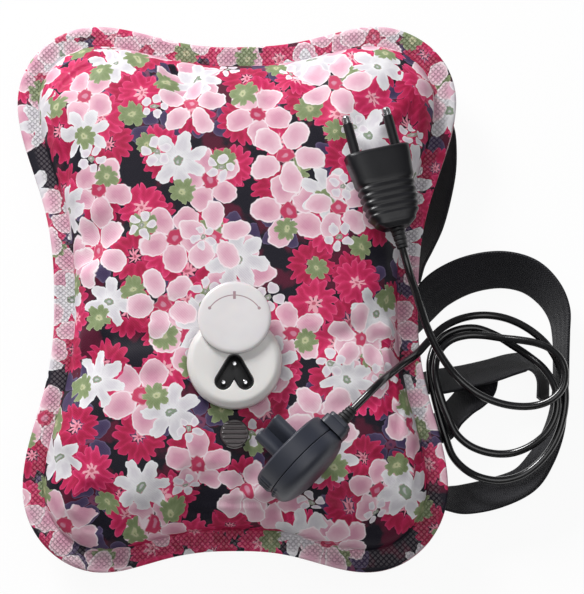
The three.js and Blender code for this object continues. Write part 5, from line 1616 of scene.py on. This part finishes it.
@dataclass
class Connector(LeadEnd):
    """The round connector that stands on its rim: a flat face with the nose, and a domed back."""

    origin: Point = (29.6, -80.3, 64.492)
    turn: float = 45.6
    radius: float = 19.2
    face_thickness: float = 8.8
    back_depth: float = 10.0
    back_power: float = 3.0
    back_skirt: float = 2.4
    nose_length: float = 12.6
    nose_lobe: float = 2.7
    sleeve_radius: float = 1.75
    sleeve_bore: float = 1.4
    collar_length: float = 5.7
    collar_width: float = 13.0
    collar_height: float = 17.0
    collar_power: float = 5.0
    relief_length: float = 7.0
    ribs: int = 7
    rib_pitch: float = 2.6
    rib_height: float = 0.7
    shape: ContactShape = field(default_factory=ContactShape)

    def basis(self) -> Array:
        """Returns the head's axes: X to the cord, Y down, Z out of the flat face."""
        turn = math.radians(self.turn)
        x = np.array([math.cos(turn), math.sin(turn), 0.0])
        z = np.array([-math.sin(turn), math.cos(turn), 0.0])
        return np.array([x, np.cross(z, x), z])

    def with_grip(self, rows: Array, low: float, high: float) -> Array:
        """Raises ribs on the rim opposite the cord, where the radius is r + h * a rounded wave of the angle.

        Args:
            rows: The half's points in the head's frame.
            low: The height where the ribs begin.
            high: The height where they end.

        Returns:
            The points with the ribs.
        """
        x, y, height = np.moveaxis(rows, -1, 0)
        radius = np.hypot(x, y)
        run = np.arctan2(y, -x) * self.radius
        wave = np.maximum(0, np.cos(run * (2 * np.pi / self.rib_pitch))) ** 0.6
        half_grip = self.ribs / 2
        inside = 1 - smooth(self.rib_pitch * (half_grip - 0.3), self.rib_pitch * half_grip, np.abs(run))
        level = smooth(low - 0.2, low + 0.5, height) * (1 - smooth(high - 0.5, high + 0.2, height))
        rise = self.rib_height * wave * inside * level * (radius > self.radius - 0.6)
        scale = 1 + rise / np.maximum(radius, 1e-6)
        return rows * np.stack([scale, scale, np.ones_like(scale)], axis=-1)

    def make_face(self, palette: Palette) -> bpy.types.Object:
        """Makes the flat half with its rolled edge, the rib grip and the three-lobed nose."""
        low = GAP / 2
        edge = self.face_thickness
        side = [(self.radius, h, 0.0) for h in np.linspace(low + 0.8, edge - 1.4, 10)]
        profile = rounded(
            [(0, low, 0), (self.radius - 0.2, low, 0), (self.radius, low + 0.3, 0.2), *side,
             (self.radius, edge - 0.9, 0.3), (self.radius - 0.9, edge, 0.6), (self.radius - 3.2, edge, 0.3),
             (self.radius - 3.8, edge - 0.45, 0.3), (0, edge - 0.45, 0)]
        )
        disc = self.with_grip(lathe(profile, 288), 0.9, edge - 1.6)
        tip = edge + self.nose_length
        lobe = self.nose_lobe
        nose = self.shape.prism(
            [(0, edge - 1), (lobe + 0.35, edge - 1), (lobe + 0.35, edge - 0.45), (lobe + 0.1, edge - 0.05),
             (lobe, edge + 0.4), (lobe, tip - 0.9), (lobe - 0.15, tip - 0.35), (lobe - 0.5, tip - 0.06),
             (lobe - 0.75, tip), (0, tip)]
        )
        return self.build("connector_front_half", palette.slate, "connector_face", disc, nose)

    def make_back(self, palette: Palette) -> bpy.types.Object:
        """Makes the domed half: a short skirt, then a quarter of a squarish ellipse to the middle."""
        low = -GAP / 2
        turn = np.linspace(0, np.pi / 2, 30)
        square = 2 / self.back_power
        dome = zip(
            self.radius * np.cos(turn) ** square,
            -self.back_skirt - (self.back_depth - self.back_skirt) * np.sin(turn) ** square,
        )
        profile = [(0, low), (self.radius - 0.3, low), (self.radius, low - 0.3)]
        profile += [(self.radius, h) for h in np.linspace(-0.6, -self.back_skirt, 6)] + list(dome)
        rows = self.with_grip(lathe(profile, 288), -self.back_skirt, -0.7)
        return self.build("connector_back_half", palette.slate, "connector_back", rows)

    def make_collar(self, palette: Palette) -> bpy.types.Object:
        """Makes the block that leads the cord in: a rounded rectangle that steps in once near its end."""
        start, end = self.radius + GAP - 1.2, self.radius + self.collar_length
        places = np.array([start, end - 2.6, end - 2.3, end - 2.1, end - 1.9, end - 0.6, end - 0.2, end, end])
        shrink = np.array([0.0, 0.0, 0.15, 0.75, 1.0, 1.0, 1.15, 1.6, 1.9])
        z, y = superellipse(ring_angles(96), self.collar_power)
        half_z, half_y = self.collar_width / 2, self.collar_height / 2
        rows = np.array([
            np.column_stack([np.full(len(y), place), (half_y - less) * y, (half_z - less) * z])
            for place, less in zip(places, shrink)
        ])
        return self.build("connector_neck", palette.slate, "connector_collar", capped(rows))

    def make_relief(self, palette: Palette) -> bpy.types.Object:
        """Makes the sleeve round the cord."""
        rows = Relief().rows(self.relief_length)[..., [2, 1, 0]]
        rows = rows + np.array([self.radius + self.collar_length + GAP, 0.0, 0.0])
        return self.build(
            "connector_strain_relief", palette.rubber, "connector_relief", rows, sharp_degrees=50
        )

    def make_sleeves(self, palette: Palette) -> list[bpy.types.Object]:
        """Makes the brass contact sleeves, each a short tube whose mouth shows in the nose."""
        tip = self.face_thickness + self.nose_length + 0.02
        bore, skin, root = self.sleeve_bore, self.sleeve_radius, tip - 12
        tube = lathe([(bore, root), (skin, root), (skin, tip), (bore, tip), (bore, root)], 32)
        return [
            self.build(
                f"nose_sleeve_{side}", palette.brass, f"contact_sleeve_{side}", placed(tube, (x, y, 0.0))
            )
            for side, (x, y) in self.shape.places().items()
        ]

    def make(self, palette: Palette) -> list[bpy.types.Object]:
        """Makes the connector and returns its pieces."""
        return [
            self.make_face(palette), self.make_back(palette), self.make_collar(palette),
            self.make_relief(palette), *self.make_sleeves(palette),
        ]


@dataclass
class MainsPlug(LeadEnd):
    """The flat wedge plug with two sleeved round pins, lying on the bag."""

    origin: Point = (63.3, 62.7, 51.877)
    turn: float = 14.5
    lean: float = 9.0
    width: float = 30.0
    thickness: float = 14.0
    length: float = 37.0
    width_shares: tuple[float, ...] = (1, 0.98, 0.9, 0.86, 0.84, 0.79, 0.62, 0.42)
    thickness_shares: tuple[float, ...] = (0.92, 1, 1, 0.98, 0.96, 0.93, 0.82, 0.66)
    station_shares: tuple[float, ...] = (0, 0.05, 0.36, 0.44, 0.62, 0.8, 0.92, 1)
    grip_start: float = 0.4
    grip_end: float = 0.84
    grip_ribs: int = 5
    groove_depth: float = 0.75
    section_power: float = 4.2
    pin_spacing: float = 19.0
    pin_radius: float = 2.0
    pin_length: float = 19.0
    sleeve_length: float = 15.0
    relief_length: float = 9.0

    def basis(self) -> Array:
        """Returns the plug's axes: X across, Y along the pins, Z up, turned and leaned with the bag."""
        c, s = math.cos(math.radians(self.turn)), math.sin(math.radians(self.turn))
        about_z = np.array([[c, -s, 0], [s, c, 0], [0, 0, 1]])
        c, s = math.cos(math.radians(self.lean)), math.sin(math.radians(self.lean))
        about_y = np.array([[c, 0, s], [0, 1, 0], [-s, 0, c]])
        return (about_z @ about_y).T

    def _read(self, shares: Sequence[float], at: Array) -> Array:
        """Reads a list of shares between its stations, with a smooth step from each to the next."""
        stations = np.asarray(self.station_shares)
        spot = np.clip(np.searchsorted(stations, at, side="left"), 1, len(stations) - 1)
        low, high = stations[spot - 1], stations[spot]
        blend = smooth(low, high, at)
        values = np.asarray(shares)
        return values[spot - 1] + (values[spot] - values[spot - 1]) * blend

    def make_body(self, palette: Palette) -> bpy.types.Object:
        """Makes the body: superellipse sections along the plug, pressed in by grooves round its grip."""
        at = np.concatenate([[0, 0.004, 0.012], np.linspace(0.02, 0.98, 140), [0.99, 0.996, 1.0]])
        lip = np.concatenate([[0.8, 0.35, 0.1], np.zeros(140), [0.15, 0.45, 0.9]])
        half_x = self.width / 2 * self._read(self.width_shares, at) - lip
        half_z = self.thickness / 2 * self._read(self.thickness_shares, at) - lip
        start, end = self.grip_start, self.grip_end
        grip = smooth(start, start + 0.02, at) * (1 - smooth(end - 0.02, end, at))
        along = (at - start) / (end - start) * self.grip_ribs
        groove = (0.5 - 0.5 * np.cos(2 * np.pi * along)) ** 1.6 * grip * self.groove_depth
        angle = ring_angles(128)
        wide, high = superellipse(angle, self.section_power)
        press = groove[:, None] * (0.35 + 0.65 * np.cos(angle) ** 2)[None]
        x = (half_x[:, None] - press) * wide[None]
        z = (half_z[:, None] - press) * high[None]
        y = np.broadcast_to(-at[:, None] * self.length, x.shape)
        rows = np.stack([x, y, z], axis=-1)
        return self.build(
            "mains_plug_shell", palette.black, "mains_plug_body", capped(rows), sharp_degrees=50
        )

    def make_pins(self, palette: Palette) -> list[bpy.types.Object]:
        """Makes each pin, with a rounded bright tip, and the black sleeve on its root."""
        made = []
        radius, length, mouth = self.pin_radius, self.pin_length, self.sleeve_length
        core, bore, skin = radius - 0.55, radius - 0.25, radius + 0.2
        pin = rounded(
            [(0, -3, 0), (radius, -3, 0), (radius, 0.3, 0), (core, 0.3, 0), (core, mouth + 0.3, 0),
             (radius, mouth + 0.3, 0.1), (radius, length - 0.9, 0.8), (radius - 0.9, length, 0.5),
             (0, length, 0)]
        )
        sleeve = rounded(
            [(bore, 0.6, 0), (skin, 0.6, 0), (skin, mouth - 0.2, 0.3), (bore, mouth, 0), (bore, 0.6, 0)]
        )
        for name, side in (("left", -1), ("right", 1)):
            start = (side * self.pin_spacing / 2, 0.0, 0.0)
            for label, profile, finish, node in (
                ("mains_pin", pin, palette.steel, "plug_pin"),
                ("mains_pin_sleeve", sleeve, palette.black, "pin_sleeve"),
            ):
                rows = placed(lathe(profile, 40)[..., [0, 2, 1]], start)
                made.append(self.build(f"{label}_{name}", finish, f"{node}_{name}", rows))
        return made

    def make_relief(self, palette: Palette) -> bpy.types.Object:
        """Makes the sleeve round the cord behind the plug."""
        rows = Relief().rows(self.relief_length)[..., [0, 2, 1]] * (1, -1, 1)
        rows = rows - np.array([0.0, self.length + GAP, 0.0])
        return self.build("plug_strain_relief", palette.rubber, "plug_relief", rows, sharp_degrees=50)

    def make(self, palette: Palette) -> list[bpy.types.Object]:
        """Makes the plug and returns its pieces."""
        return [self.make_body(palette), *self.make_pins(palette), self.make_relief(palette)]


def main() -> None:
    """Builds the studio, the cord and every other piece in turn."""
    logging.basicConfig(level=logging.INFO)
    studio = Studio()
    studio.make_camera()
    palette = Palette()
    lead = Lead()
    cord = lead.make(palette)
    bag = PillowBag()
    bag.make(palette)
    WaistBelt(bag.edge).make(palette)
    ChargingInlet().make(palette)
    Filler().make(palette)
    ends = [*Connector().make(palette), *MainsPlug().make(palette)]
    lead.declare()
    studio.make_floor()
    studio.make_lamps()


if __name__ == "__main__":
    main()
